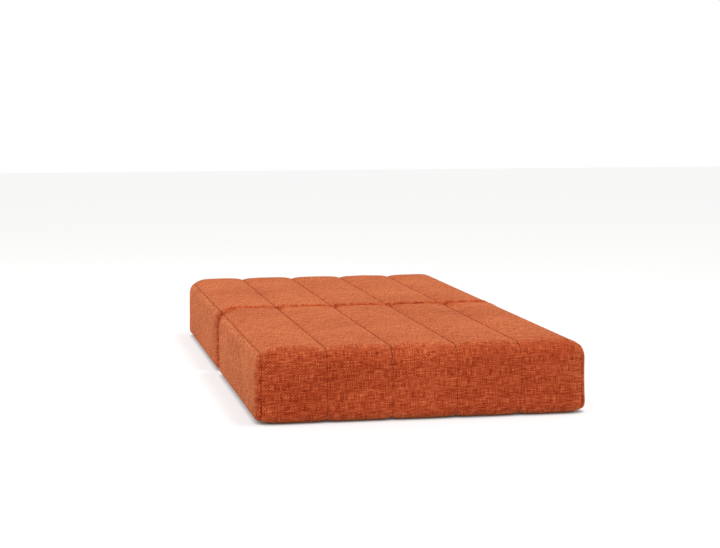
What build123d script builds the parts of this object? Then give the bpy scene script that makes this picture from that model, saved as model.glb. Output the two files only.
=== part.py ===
from build123d import *

import os
from dataclasses import dataclass
from math import asin, cos, degrees, radians, sqrt

# A chair bed: two quilted foam blocks that lie end to end on the floor as a bed. The front block
# swings up about the top edge of the joint between them and lies back on the rear block as a seat.
# X runs across the bed, Y along it and Z up. The origin is on the floor, midway between the
# blocks: the front block lies at negative Y and the rear block at positive Y. Sizes are in mm.

# The bed as a whole
bed_length = 1900.0
bed_width = 992.0
bed_height = 223.0
fold_gap = 1.0  # left between the blocks where their ends are pressed together

# The quilted cover, measured from the level of its sewn seams
channel_pitch = 192.0  # between the four seams that run along the bed
channel_crown = 9.0  # how far the middle of a channel stands above its seams
shoulder_width = 30.0  # the steep part of a channel, beside each seam
shoulder_rise = 6.0
edge_shoulder_width = 46.0  # the same beside the side seams, where the cover rolls over
quilt_depth = 15.0  # padding behind the seams
hem_width = 6.0  # the cover turns under the block by this much past its foot rounds
base_lift = 3.0  # the seams clear the floor by this much
fold_press = 4.5  # the crown is pressed flat by this much where the blocks meet

# Rounds of a block's side profile, at seam level
top_round = 50.0
outer_foot_round = 42.0
fold_foot_round = 42.0

# The side panels
side_round = 34.0  # radius of the edge between a side panel and the cover
side_seam_angle = 45.0  # where the side seam lies on that edge
side_dome = 10.0  # how far the middle of a side panel stands out
side_dome_inset_share = 0.3  # of the height of a side panel inside its round edge
side_dome_round_share = 0.25  # of the height of each outline of the dome
side_dome_shares = ((0.35, 0.62), (1, 1))  # of its inset and of its rise, at each outline
base_edge_width = 40.0  # the base rolls up to the side seams over this width

# The foam
comfort_depth = 40.0  # the softer layer on top of the core
layer_gap = 0.3

# The strip of cover fabric that hinges the blocks
strip_thickness = 1.2
strip_gap = 0.3
strip_angle = 40.0  # how far up the rounds of the joint it is sewn
strip_end_inset = 24.0

# The zip under the outer end of each block, in a slot between the cover and the base
zip_end_inset = 96.0  # from the sides of the bed to the ends of the coil
zip_slot_width = 14.0
zip_slot_end = 3.0  # the slot runs on by this much past the stops
tape_height = 8.0  # underside of the tapes above the floor
tape_thickness = 1.0
coil_width = 5.0
coil_thickness = 2.2
coil_neck_width = 2.0
slider_length = 24.0
slider_wall = 1.7
slider_lip = 1.0
slider_round = 1.0  # at its four upright corners
slider_gap = 0.3
stop_length = 4.0
stop_width = 7.0

# Worked out from the sizes above
seam_height = bed_height - channel_crown
fold_line = fold_gap / 2 + channel_crown - fold_press
outer_line = bed_length / 2 - channel_crown
side_drop = side_round * (1 - cos(radians(side_seam_angle)))
side_face_x = bed_width / 2 - side_dome
side_seam_x = side_face_x - side_drop
side_face_height = seam_height - base_lift - 2 * side_round
core_inset = quilt_depth + layer_gap
core_half_width = side_seam_x - layer_gap
zip_length = bed_width - 2 * zip_end_inset


@dataclass(frozen=True)
class Block:
    """A foam block between its two end planes at seam level, with a foot round at each end."""

    name: str
    low_y: float
    high_y: float
    low_foot: float
    high_foot: float
    outward: int  # the way along Y that its outer end faces

    def corners(self, inset):
        """The corners of the side profile, drawn in by inset, from the low foot round."""
        low, high = self.low_y + inset, self.high_y - inset
        bottom, top = base_lift + inset, seam_height - inset
        return [(low, bottom), (high, bottom), (high, top), (low, top)]

    def rounds(self, inset):
        """The radii of those corners."""
        feet = [self.low_foot - inset, self.high_foot - inset]
        return feet + [top_round - inset, top_round - inset]

    def base_span(self):
        """The ends of the flat base along Y, where the cover's hems stop."""
        return (
            self.low_y + self.low_foot + hem_width,
            self.high_y - self.high_foot - hem_width,
        )

    def zip_y(self):
        """The middle of the zip slot, against the hem at the outer end."""
        low, high = self.base_span()
        hem = low if self.outward < 0 else high
        return hem - self.outward * zip_slot_width / 2


front = Block("front", -outer_line, -fold_line, outer_foot_round, fold_foot_round, -1)
rear = Block("rear", fold_line, outer_line, fold_foot_round, outer_foot_round, 1)


def save(builder, label):
    """Names a finished piece and writes its file."""
    builder.part.label = label
    export_step(builder.part, f"parts/{label}.step")


# The padded channels. Each is one crowned section, carried up the end of the block, along its
# top and down the other end.


def crown_points(left, right):
    """Where the flat middle of a channel starts, peaks and ends, between two seams."""
    left_width = shoulder_width if left[1] == 0 else edge_shoulder_width
    right_width = shoulder_width if right[1] == 0 else edge_shoulder_width
    start = left[0] + left_width
    end = right[0] - right_width
    return (start, shoulder_rise), ((start + end) / 2, channel_crown), (end, shoulder_rise)


def make_channel(block, left, right, label):
    """Makes one channel between two seams, each an (x, level) pair. The level counts outwards."""
    hem_from, hem_to = block.base_span()
    low_bottom, high_bottom, high_top, low_top = block.corners(0)
    low_foot, high_foot, high_round, low_round = block.rounds(0)
    crown_from, middle, crown_to = crown_points(left, right)
    fold_face = Plane.XZ.offset(block.outward * -fold_gap / 2)
    with BuildPart() as channel:
        with BuildLine(Plane.YZ) as route:
            FilletPolyline(
                (hem_to, base_lift),
                high_bottom,
                high_top,
                low_top,
                low_bottom,
                (hem_from, base_lift),
                radius=[high_foot, high_round, low_round, low_foot],
            )
        with BuildSketch(Plane(route.line @ 0, x_dir=(1, 0, 0), z_dir=route.line % 0)):
            with BuildLine():
                crown = ThreePointArc(crown_from, middle, crown_to)
                TangentArc(crown_from, left, tangent=-(crown % 0))
                TangentArc(crown_to, right, tangent=crown % 1)
                Polyline(left, (left[0], -quilt_depth), (right[0], -quilt_depth), right)
            make_face()
        sweep(path=route.line)
        split(bisect_by=Plane.XY, keep=Keep.TOP)
        split(bisect_by=fold_face, keep=Keep.TOP if block.outward < 0 else Keep.BOTTOM)
    save(channel, label)


def make_channels(block):
    """Makes the padded channels of a block, numbered from left to right."""
    seams = [(channel_pitch * share, 0) for share in (-1.5, -0.5, 0.5, 1.5)]
    seams = [(-side_seam_x, -side_drop), *seams, (side_seam_x, -side_drop)]
    for number in range(1, len(seams)):
        make_channel(block, seams[number - 1], seams[number], f"{block.name}_channel_{number}")


# The panels that close the cover: two domed sides and a flat base


def make_side_panel(block, hand, label):
    """Makes a side panel: a round edge that starts at the side seam, and a slightly domed face."""
    rim_depth = side_round + quilt_depth
    seam_plane = Plane.YZ.offset(hand * side_seam_x)
    with BuildPart() as panel:
        with BuildSketch(Plane.YZ.offset(hand * (side_face_x - rim_depth))):
            with BuildLine():
                FilletPolyline(*block.corners(0), radius=block.rounds(0), close=True)
            make_face()
        extrude(amount=hand * rim_depth)
        outer_face = panel.faces().sort_by(Axis.X)[-1 if hand > 0 else 0]
        fillet(outer_face.edges(), radius=side_round)
        split(bisect_by=seam_plane, keep=Keep.TOP if hand > 0 else Keep.BOTTOM)
        with BuildSketch(Plane.YZ.offset(hand * side_face_x)):
            with BuildLine():
                rim = block.corners(side_round)
                FilletPolyline(*rim, radius=block.rounds(side_round), close=True)
            make_face()
        for inset_share, rise_share in side_dome_shares:
            inset = side_face_height * side_dome_inset_share * inset_share
            dome_round = side_dome_round_share * (side_face_height - 2 * inset)
            with BuildSketch(Plane.YZ.offset(hand * (side_face_x + side_dome * rise_share))):
                with BuildLine():
                    outline = block.corners(side_round + inset)
                    FilletPolyline(*outline, radius=dome_round, close=True)
                make_face()
        loft()
    save(panel, label)


def make_base_panel(block):
    """Makes the base: flat on the floor, rolled up to the side seams, with a slot for the zip."""
    base_from, base_to = block.base_span()
    base_top = base_lift + quilt_depth
    flat_x = side_seam_x - base_edge_width
    edge_height = base_lift + side_drop
    slot_length = zip_length + 2 * (stop_length + zip_slot_end)
    with BuildPart() as base:
        with BuildSketch(Plane.XZ.offset(-base_to)):
            with BuildLine():
                Line((-flat_x, 0), (flat_x, 0))
                TangentArc((flat_x, 0), (side_seam_x, edge_height), tangent=(1, 0))
                TangentArc((-flat_x, 0), (-side_seam_x, edge_height), tangent=(-1, 0))
                Polyline(
                    (side_seam_x, edge_height),
                    (side_seam_x, base_top),
                    (-side_seam_x, base_top),
                    (-side_seam_x, edge_height),
                )
            make_face()
        extrude(amount=base_to - base_from)
        with BuildSketch(Plane.XY):
            with Locations((0, block.zip_y())):
                Rectangle(slot_length, zip_slot_width)
        extrude(amount=base_top, mode=Mode.SUBTRACT)
    save(base, f"{block.name}_base_panel")


# The foam inside the cover


def make_foam(block):
    """Makes the firm core of a block, and the softer layer that lies on it."""
    comfort_from = seam_height - core_inset - comfort_depth
    layers = {"foam_core": Keep.BOTTOM, "comfort_layer": Keep.TOP}
    for name, side in layers.items():
        with BuildPart() as layer:
            with BuildSketch(Plane.YZ.offset(-core_half_width)):
                with BuildLine():
                    corners = block.corners(core_inset)
                    FilletPolyline(*corners, radius=block.rounds(core_inset), close=True)
                make_face()
            extrude(amount=2 * core_half_width)
            split(bisect_by=Plane.XY.offset(comfort_from), keep=side)
        save(layer, f"{block.name}_{name}")


# The zip of each block's cover. Its coil hangs under the tapes on a narrow neck, and the slider
# grips the coil from below.

coil_top = tape_height - slider_lip - 2 * slider_gap
coil_bottom = coil_top - coil_thickness
slider_half_width = coil_width / 2 + slider_gap + slider_wall
slider_bottom = coil_bottom - slider_gap - slider_wall
slider_top = coil_top + slider_gap + slider_lip


def make_zip(block):
    """Makes the two tapes, the coil between them, the slider and the two end stops."""
    middle_y = block.zip_y()
    slot_half = zip_slot_width / 2
    neck_half = coil_neck_width / 2
    tape_top = tape_height + tape_thickness
    tape_length = zip_length + 2 * stop_length
    with BuildPart() as tapes:
        with BuildSketch(Plane.XY.offset(tape_height)):
            for side in (-1, 1):
                with Locations((0, middle_y + side * (slot_half + neck_half) / 2)):
                    Rectangle(tape_length, slot_half - neck_half)
        extrude(amount=tape_thickness)
    save(tapes, f"{block.name}_zip_tapes")

    coil_plane = Plane((-zip_length / 2, middle_y, 0), x_dir=(0, 1, 0), z_dir=(1, 0, 0))
    with BuildPart() as coil:
        with BuildSketch(coil_plane):
            with Locations((0, (coil_bottom + coil_top) / 2)):
                Rectangle(coil_width, coil_thickness)
            with Locations((0, (coil_top + tape_top) / 2)):
                Rectangle(coil_neck_width, tape_top - coil_top)
        extrude(amount=zip_length)
    save(coil, f"{block.name}_zip_coil")

    slider_plane = coil_plane.offset(zip_length - slider_length)
    cavity_half = coil_width / 2 + slider_gap
    lip_half = neck_half + slider_gap
    with BuildPart() as slider:
        with BuildSketch(slider_plane):
            with BuildLine():
                half = Polyline(
                    (0, slider_bottom),
                    (slider_half_width, slider_bottom),
                    (slider_half_width, slider_top),
                    (lip_half, slider_top),
                    (lip_half, coil_top + slider_gap),
                    (cavity_half, coil_top + slider_gap),
                    (cavity_half, coil_bottom - slider_gap),
                    (0, coil_bottom - slider_gap),
                )
                mirror(half, about=Plane.YZ)
            make_face()
        extrude(amount=slider_length)
        outer_edges = slider.edges().filter_by(Axis.Z).group_by(Axis.Y)
        fillet(outer_edges[0] + outer_edges[-1], radius=slider_round)
    save(slider, f"{block.name}_zip_slider")

    with BuildPart() as stops:
        with BuildSketch(Plane.XY.offset(coil_bottom)):
            for end in (-1, 1):
                with Locations((end * (zip_length + stop_length) / 2, middle_y)):
                    Rectangle(stop_length, stop_width)
        extrude(amount=tape_height - coil_bottom)
    save(stops, f"{block.name}_zip_stops")


# The hinge: a strip of cover fabric tucked down into the groove between the blocks


def make_hinge_strip():
    """Makes the strip as a shallow trough that follows the rounds on both sides of the joint."""
    centre = (fold_line + top_round, seam_height - top_round)
    lower_radius = top_round + channel_crown + strip_gap
    upper_radius = lower_radius + strip_thickness
    trough = sqrt(upper_radius**2 - centre[0] ** 2)
    underside = trough - strip_thickness
    underside_y = centre[0] - sqrt(lower_radius**2 - underside**2)
    upper_from = 180 - degrees(asin(trough / upper_radius))
    lower_from = 180 - degrees(asin(underside / lower_radius))
    top_angle = 180 - strip_angle
    half_length = side_seam_x - strip_end_inset
    with BuildPart() as strip:
        with BuildSketch(Plane.YZ.offset(-half_length)):
            with BuildLine():
                upper = CenterArc(centre, upper_radius, upper_from, top_angle - upper_from)
                lower = CenterArc(centre, lower_radius, lower_from, top_angle - lower_from)
                Line(upper @ 1, lower @ 1)
                Line((0, centre[1] + underside), (underside_y, centre[1] + underside))
                mirror(about=Plane.YZ)
            make_face()
        extrude(amount=2 * half_length)
    save(strip, "hinge_strip")


os.makedirs("parts", exist_ok=True)
for block in (front, rear):
    make_channels(block)
    make_side_panel(block, -1, f"{block.name}_left_side_panel")
    make_side_panel(block, 1, f"{block.name}_right_side_panel")
    make_base_panel(block)
    make_foam(block)
    make_zip(block)
make_hinge_strip()
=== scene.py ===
"""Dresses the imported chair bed: channels, side and base panels, foam, hinge strip and zips.

Everything is in metres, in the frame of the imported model: X across the bed, Y along it with the
front block at negative Y, Z up from the floor. A block is worked out in its own two coordinates,
the reach, measured from the joint towards the block's outer end, and the height.
"""

import logging
import math
from dataclasses import dataclass, field
from enum import Enum

import bpy
import numpy as np
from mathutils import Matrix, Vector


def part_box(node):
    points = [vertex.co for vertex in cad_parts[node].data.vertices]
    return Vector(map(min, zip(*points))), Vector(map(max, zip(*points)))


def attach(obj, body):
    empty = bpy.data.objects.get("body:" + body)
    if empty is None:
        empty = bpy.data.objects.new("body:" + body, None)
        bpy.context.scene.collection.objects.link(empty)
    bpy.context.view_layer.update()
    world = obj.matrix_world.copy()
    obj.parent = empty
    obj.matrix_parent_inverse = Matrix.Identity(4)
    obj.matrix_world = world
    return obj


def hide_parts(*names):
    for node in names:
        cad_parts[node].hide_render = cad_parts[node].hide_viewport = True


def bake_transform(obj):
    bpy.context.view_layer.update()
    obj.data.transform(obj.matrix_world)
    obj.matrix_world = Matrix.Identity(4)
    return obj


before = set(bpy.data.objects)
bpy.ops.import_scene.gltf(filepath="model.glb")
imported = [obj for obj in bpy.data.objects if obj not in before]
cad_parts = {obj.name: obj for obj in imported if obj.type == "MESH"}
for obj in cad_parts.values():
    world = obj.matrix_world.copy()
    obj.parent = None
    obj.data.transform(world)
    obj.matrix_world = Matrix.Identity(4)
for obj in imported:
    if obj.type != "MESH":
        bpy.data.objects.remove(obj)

log = logging.getLogger("chair_bed")

Array = np.ndarray  # of floats, or of whole numbers where it holds faces

MM = 0.001
CLOTH_MAP = "cloth"  # the attribute that holds where a point lies on its flat cloth, in metres
SEAM_SHADE_MAP = "seam"  # painted shade: one on a sewn line, zero beside it, and raised in the joint's mouth


class Slot(Enum):
    """The record's material slots."""

    UPHOLSTERY = "upholstery"
    BASE_CLOTH = "base_cloth"
    FOAM = "foam"
    COMFORT_FOAM = "comfort_foam"
    ZIP_TAPE = "zip_tape"
    ZIP_COIL = "zip_coil"
    ZIP_METAL = "zip_metal"


# Finishes


def linear(hex_colour: str) -> tuple[float, float, float, float]:
    """Turns an sRGB hex colour such as "#aa4528" to linear light.

    Args:
        hex_colour: The colour as six hex digits after a hash.

    Returns:
        Red, green, blue and a full alpha.
    """
    parts = np.array([int(hex_colour[i : i + 2], 16) for i in (1, 3, 5)]) / 255
    light = np.where(parts <= 0.04045, parts / 12.92, ((parts + 0.055) / 1.055) ** 2.4)
    return (*map(float, light), 1.0)


def add_node(
    tree: bpy.types.NodeTree, kind: str, settings: dict | None = None, inputs: dict | None = None
) -> bpy.types.Node:
    """Adds a node, gives it its settings, and fills or links its sockets.

    Args:
        tree: The node tree.
        kind: The node's type name, after "ShaderNode".
        settings: The node's own properties by name.
        inputs: A value, or a socket to link from, by the name or number of the input.

    Returns:
        The new node.
    """
    node = tree.nodes.new("ShaderNode" + kind)
    for name, value in (settings or {}).items():
        setattr(node, name, value)
    for name, value in (inputs or {}).items():
        if isinstance(value, bpy.types.NodeSocket):
            tree.links.new(value, node.inputs[name])
        else:
            node.inputs[name].default_value = value
    return node


def add_math(
    tree: bpy.types.NodeTree, operation: str, *values: float | bpy.types.NodeSocket
) -> bpy.types.NodeSocket:
    """Adds a Math node.

    Args:
        tree: The node tree.
        operation: What it does with its values.
        values: Numbers, or sockets to link from, in order.

    Returns:
        The socket with the result.
    """
    node = add_node(tree, "Math", {"operation": operation}, dict(enumerate(values)))
    return node.outputs[0]


def add_bump(
    tree: bpy.types.NodeTree, height: bpy.types.NodeSocket, depth: float, strength: float
) -> bpy.types.NodeSocket:
    """Adds a relief.

    Args:
        tree: The node tree.
        height: The height, as a share of the depth.
        depth: The depth of the relief, in metres.
        strength: How much of it the light gets.

    Returns:
        The socket with the bent normal.
    """
    inputs = {"Strength": strength, "Distance": depth, "Height": height}
    return add_node(tree, "Bump", None, inputs).outputs[0]


def fill_ramp(ramp: bpy.types.Node, stops: list[tuple[float, str]]) -> bpy.types.Node:
    """Gives a colour ramp its stops.

    Args:
        ramp: The colour ramp node.
        stops: Place and sRGB hex colour of each stop, in order.

    Returns:
        The same node.
    """
    elements = ramp.color_ramp.elements
    while len(elements) < len(stops):
        elements.new(0.5)
    for element, (place, colour) in zip(elements, stops):
        element.position = place
        element.color = linear(colour)
    return ramp


def new_material(name: str) -> tuple[bpy.types.Material, bpy.types.NodeTree, bpy.types.Node]:
    """Starts a material.

    Args:
        name: The material's name.

    Returns:
        The material, its emptied node tree and its output node.
    """
    material = bpy.data.materials.new(name)
    material.use_nodes = True
    tree = material.node_tree
    tree.nodes.clear()
    return material, tree, add_node(tree, "OutputMaterial")


@dataclass(frozen=True)
class SlubWeave:
    """A plain weave of uneven, slubbed polyester yarn, dyed in two close shades.

    The eye gets a crosswise hatch of pale and dark streaks, with a soft bloom of loose fibre at
    a low angle. The real yarns are about 1 mm apart. They are drawn yarn_mm apart, the pitch of
    the hatch that shows from a few metres away, and the slubs are drawn as streaks, streak_mm
    wide and warp_slub_mm or weft_slub_mm long.
    """

    name: str
    shades: tuple[tuple[float, str], ...]
    bloom: str
    bloom_weight: float = 0.37
    bloom_roughness: float = 0.58
    yarn_mm: float = 4.8
    yarn_shade: float = 0.055
    streak_mm: float = 1.7
    streak_detail: float = 1.0
    streak_roughness: float = 0.5
    warp_slub_mm: float = 30.0
    weft_slub_mm: float = 24.0
    cloud_mm: float = 260.0
    cloud_detail: float = 2.0
    cloud_shade: float = 0.12
    weft_shift: float = 7.3  # keeps the streaks of the two families of yarn apart
    bloom_range: tuple[float, float] = (0.36, 0.7)  # the shades between which the bloom grows
    bloom_shares: tuple[float, float] = (0.2, 1.8)
    relief_mm: float = 1.2
    relief_strength: float = 0.7
    yarn_relief: float = 0.12
    roughness: float = 0.92
    specular: float = 0.1
    # how much darker the painted shade of the seams and of the joint makes the cloth
    painted_seam_shade: float = 0.1

    def material(self) -> bpy.types.Material:
        """Builds the material from the cloth's own flat coordinates.

        Returns:
            The material.
        """
        material, tree, output = new_material(self.name)
        cloth = add_node(tree, "Attribute", {"attribute_name": CLOTH_MAP})
        place = cloth.outputs["Vector"]
        streak = self.streak_mm * MM
        warp, weft = self.warp_slub_mm * MM, self.weft_slub_mm * MM
        lengthwise = self.streaks(tree, place, (1 / streak, 1 / warp, 1.0), 0.0)
        crosswise = self.streaks(tree, place, (1 / weft, 1 / streak, 1.0), self.weft_shift)
        crossing = self.crossing(tree, place)
        streaks = add_math(tree, "MULTIPLY", add_math(tree, "ADD", lengthwise, crosswise), 0.5)
        cloud = add_node(
            tree,
            "TexNoise",
            {"noise_dimensions": "3D"},
            {"Vector": place, "Scale": 1 / (self.cloud_mm * MM), "Detail": self.cloud_detail},
        )
        shade = add_math(tree, "MULTIPLY_ADD", cloud.outputs[0], self.cloud_shade, streaks)
        shade = add_math(tree, "MULTIPLY_ADD", crossing, self.yarn_shade, shade)
        # Painted shade: the seam attribute darkens the cloth, and so thins its sheen, along the
        # sewn creases and in the mouth of the joint.
        seam = add_node(tree, "Attribute", {"attribute_name": SEAM_SHADE_MAP}).outputs["Fac"]
        shade = add_math(tree, "MULTIPLY_ADD", seam, -self.painted_seam_shade, shade)
        colour = fill_ramp(add_node(tree, "ValToRGB", None, {0: shade}), self.shades)
        bloom = add_node(
            tree,
            "MapRange",
            None,
            {
                0: shade,
                1: self.bloom_range[0],
                2: self.bloom_range[1],
                3: self.bloom_shares[0] * self.bloom_weight,
                4: self.bloom_shares[1] * self.bloom_weight,
            },
        )
        height = add_math(tree, "MULTIPLY_ADD", crossing, self.yarn_relief, streaks)
        normal = add_bump(tree, height, self.relief_mm * MM, self.relief_strength)
        shader = add_node(
            tree,
            "BsdfPrincipled",
            None,
            {
                "Base Color": colour.outputs[0],
                "Roughness": self.roughness,
                "Specular IOR Level": self.specular,
                "Specular Tint": linear(self.bloom),
                "Sheen Weight": bloom.outputs[0],
                "Sheen Roughness": self.bloom_roughness,
                "Sheen Tint": linear(self.bloom),
                "Normal": normal,
            },
        )
        tree.links.new(shader.outputs[0], output.inputs[0])
        return material

    def streaks(
        self,
        tree: bpy.types.NodeTree,
        place: bpy.types.NodeSocket,
        scale: tuple[float, float, float],
        shift: float,
    ) -> bpy.types.NodeSocket:
        """Adds noise that is drawn out along one family of yarns.

        Args:
            tree: The node tree.
            place: The cloth coordinates.
            scale: How many streaks lie in a metre, each way.
            shift: An offset that keeps the two families apart.

        Returns:
            The noise, around one half.
        """
        stretched = add_node(
            tree,
            "Mapping",
            {"vector_type": "POINT"},
            {"Vector": place, "Location": (shift, shift, shift), "Scale": scale},
        )
        noise = add_node(
            tree,
            "TexNoise",
            {"noise_dimensions": "3D"},
            {
                "Vector": stretched.outputs[0],
                "Scale": 1.0,
                "Detail": self.streak_detail,
                "Roughness": self.streak_roughness,
            },
        )
        return noise.outputs[0]

    def crossing(
        self, tree: bpy.types.NodeTree, place: bpy.types.NodeSocket
    ) -> bpy.types.NodeSocket:
        """Adds the plain weave: the sine across the cloth times the sine along it.

        Args:
            tree: The node tree.
            place: The cloth coordinates.

        Returns:
            A value that is positive where a lengthwise yarn lies on top, and negative elsewhere.
        """
        scaled = add_node(
            tree,
            "VectorMath",
            {"operation": "SCALE"},
            {0: place, "Scale": math.pi / (self.yarn_mm * MM)},
        )
        waves = add_node(tree, "VectorMath", {"operation": "SINE"}, {0: scaled.outputs[0]})
        split = add_node(tree, "SeparateXYZ", None, {0: waves.outputs[0]})
        return add_math(tree, "MULTIPLY", split.outputs[0], split.outputs[1])


@dataclass(frozen=True)
class NonWovenCloth:
    """Spun-bonded polypropylene base cloth with a grid of pressed bond points.

    It gives the eye a dull, near-black felt with small shiny dimples. The real bond points are
    about 1 mm apart, and are drawn dimple_mm apart so that they show.
    """

    name: str = "spun-bonded polypropylene base cloth"
    fibre: str = "#2e2c2d"
    dimple: str = "#1d1c1d"
    dimple_mm: float = 3.0
    dimple_stray: float = 0.25
    dimple_edge: tuple[float, float] = (0.18, 0.32)
    fibre_mm: float = 1.2
    fibre_relief: float = 0.5
    relief_mm: float = 0.3
    relief_strength: float = 0.6
    roughness: float = 0.85
    specular: float = 0.3
    sheen: float = 0.15

    def material(self) -> bpy.types.Material:
        """Builds the material from the cloth's own flat coordinates.

        Returns:
            The material.
        """
        material, tree, output = new_material(self.name)
        cloth = add_node(tree, "Attribute", {"attribute_name": CLOTH_MAP})
        place = cloth.outputs["Vector"]
        cells = add_node(
            tree,
            "TexVoronoi",
            {"feature": "F1"},
            {
                "Vector": place,
                "Scale": 1 / (self.dimple_mm * MM),
                "Randomness": self.dimple_stray,
            },
        )
        pressed_in = add_node(
            tree,
            "MapRange",
            {"clamp": True},
            {0: cells.outputs["Distance"], 1: self.dimple_edge[0], 2: self.dimple_edge[1]},
        )
        fibres = add_node(
            tree,
            "TexNoise",
            None,
            {"Vector": place, "Scale": 1 / (self.fibre_mm * MM), "Detail": 3.0, "Roughness": 0.7},
        )
        height = add_math(
            tree, "MULTIPLY_ADD", fibres.outputs[0], self.fibre_relief, pressed_in.outputs[0]
        )
        colour = fill_ramp(
            add_node(tree, "ValToRGB", None, {0: pressed_in.outputs[0]}),
            [(0.0, self.dimple), (1.0, self.fibre)],
        )
        normal = add_bump(tree, height, self.relief_mm * MM, self.relief_strength)
        shader = add_node(
            tree,
            "BsdfPrincipled",
            None,
            {
                "Base Color": colour.outputs[0],
                "Roughness": self.roughness,
                "Specular IOR Level": self.specular,
                "Sheen Weight": self.sheen,
                "Normal": normal,
            },
        )
        tree.links.new(shader.outputs[0], output.inputs[0])
        return material


@dataclass(frozen=True)
class OpenCellFoam:
    """Slab-stock polyurethane foam, cut with a blade.

    It gives the eye a matt, pitted face, the pits coloured darker than the cell walls as painted
    shade. The real cells are under 1 mm wide, and are drawn cell_mm wide so that they show.
    """

    name: str
    wall: str
    pore_shade: str
    cell_mm: float = 2.4
    wall_edge: tuple[float, float] = (0.05, 0.45)
    relief_mm: float = 0.6
    relief_strength: float = 0.5
    roughness: float = 0.95
    specular: float = 0.15

    def material(self) -> bpy.types.Material:
        """Builds the material from object coordinates.

        Returns:
            The material.
        """
        material, tree, output = new_material(self.name)
        place = add_node(tree, "TexCoord").outputs["Object"]
        cells = add_node(
            tree,
            "TexVoronoi",
            {"feature": "F1"},
            {"Vector": place, "Scale": 1 / (self.cell_mm * MM)},
        )
        # The pits take the darker painted pore shade.
        colour = fill_ramp(
            add_node(tree, "ValToRGB", None, {0: cells.outputs["Distance"]}),
            [(self.wall_edge[0], self.pore_shade), (self.wall_edge[1], self.wall)],
        )
        normal = add_bump(
            tree, cells.outputs["Distance"], self.relief_mm * MM, self.relief_strength
        )
        shader = add_node(
            tree,
            "BsdfPrincipled",
            None,
            {
                "Base Color": colour.outputs[0],
                "Roughness": self.roughness,
                "Specular IOR Level": self.specular,
                "Normal": normal,
            },
        )
        tree.links.new(shader.outputs[0], output.inputs[0])
        return material


@dataclass(frozen=True)
class HerringboneTape:
    """Woven polyester zip tape.

    It gives the eye fine ribs that turn in a herringbone, rib_mm apart and turn_mm long, with the
    hollows between the ribs coloured darker as painted shade.
    """

    name: str = "woven polyester zip tape"
    yarn: str = "#a2472c"
    hollow_shade: str = "#7a3220"
    rib_mm: float = 0.9
    turn_mm: float = 3.0
    rib_crest: float = 0.7
    relief_mm: float = 0.2
    relief_strength: float = 0.6
    roughness: float = 0.75
    specular: float = 0.35
    sheen: float = 0.2

    def material(self) -> bpy.types.Material:
        """Builds the material from object coordinates, which run along X on both zips.

        Returns:
            The material.
        """
        material, tree, output = new_material(self.name)
        place = add_node(tree, "TexCoord").outputs["Object"]
        split = add_node(tree, "SeparateXYZ", None, {0: place})
        turn = add_math(tree, "PINGPONG", split.outputs[1], self.turn_mm * MM / 2)
        slanted = add_math(tree, "ADD", split.outputs[0], turn)
        phase = add_math(tree, "MULTIPLY", slanted, 2 * math.pi / (self.rib_mm * MM))
        ribs = add_math(tree, "SINE", phase)
        height = add_node(tree, "MapRange", None, {0: ribs, 1: -1.0, 2: 1.0})
        # The hollows between the ribs take the darker painted hollow shade.
        colour = fill_ramp(
            add_node(tree, "ValToRGB", None, {0: height.outputs[0]}),
            [(0.0, self.hollow_shade), (self.rib_crest, self.yarn)],
        )
        normal = add_bump(tree, height.outputs[0], self.relief_mm * MM, self.relief_strength)
        shader = add_node(
            tree,
            "BsdfPrincipled",
            None,
            {
                "Base Color": colour.outputs[0],
                "Roughness": self.roughness,
                "Specular IOR Level": self.specular,
                "Sheen Weight": self.sheen,
                "Normal": normal,
            },
        )
        tree.links.new(shader.outputs[0], output.inputs[0])
        return material


@dataclass(frozen=True)
class SmoothFinish:
    """A hard finish with a light grain: dyed nylon monofilament, or blackened zinc casting."""

    name: str
    colour: str
    worn: str
    metallic: float
    roughness: float
    grain_mm: float
    coat: float = 0.0
    wear: tuple[float, float] = (0.35, 0.75)
    roughness_spread: float = 0.07
    relief_mm: float = 0.05
    relief_strength: float = 0.15

    def material(self) -> bpy.types.Material:
        """Builds the material from object coordinates.

        Returns:
            The material.
        """
        material, tree, output = new_material(self.name)
        place = add_node(tree, "TexCoord").outputs["Object"]
        grain = add_node(
            tree,
            "TexNoise",
            None,
            {"Vector": place, "Scale": 1 / (self.grain_mm * MM), "Detail": 3.0},
        )
        colour = fill_ramp(
            add_node(tree, "ValToRGB", None, {0: grain.outputs[0]}),
            [(self.wear[0], self.colour), (self.wear[1], self.worn)],
        )
        rough = add_node(
            tree,
            "MapRange",
            None,
            {
                0: grain.outputs[0],
                3: self.roughness - self.roughness_spread,
                4: self.roughness + self.roughness_spread,
            },
        )
        normal = add_bump(tree, grain.outputs[0], self.relief_mm * MM, self.relief_strength)
        shader = add_node(
            tree,
            "BsdfPrincipled",
            None,
            {
                "Base Color": colour.outputs[0],
                "Metallic": self.metallic,
                "Roughness": rough.outputs[0],
                "Coat Weight": self.coat,
                "Normal": normal,
            },
        )
        tree.links.new(shader.outputs[0], output.inputs[0])
        return material


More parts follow.
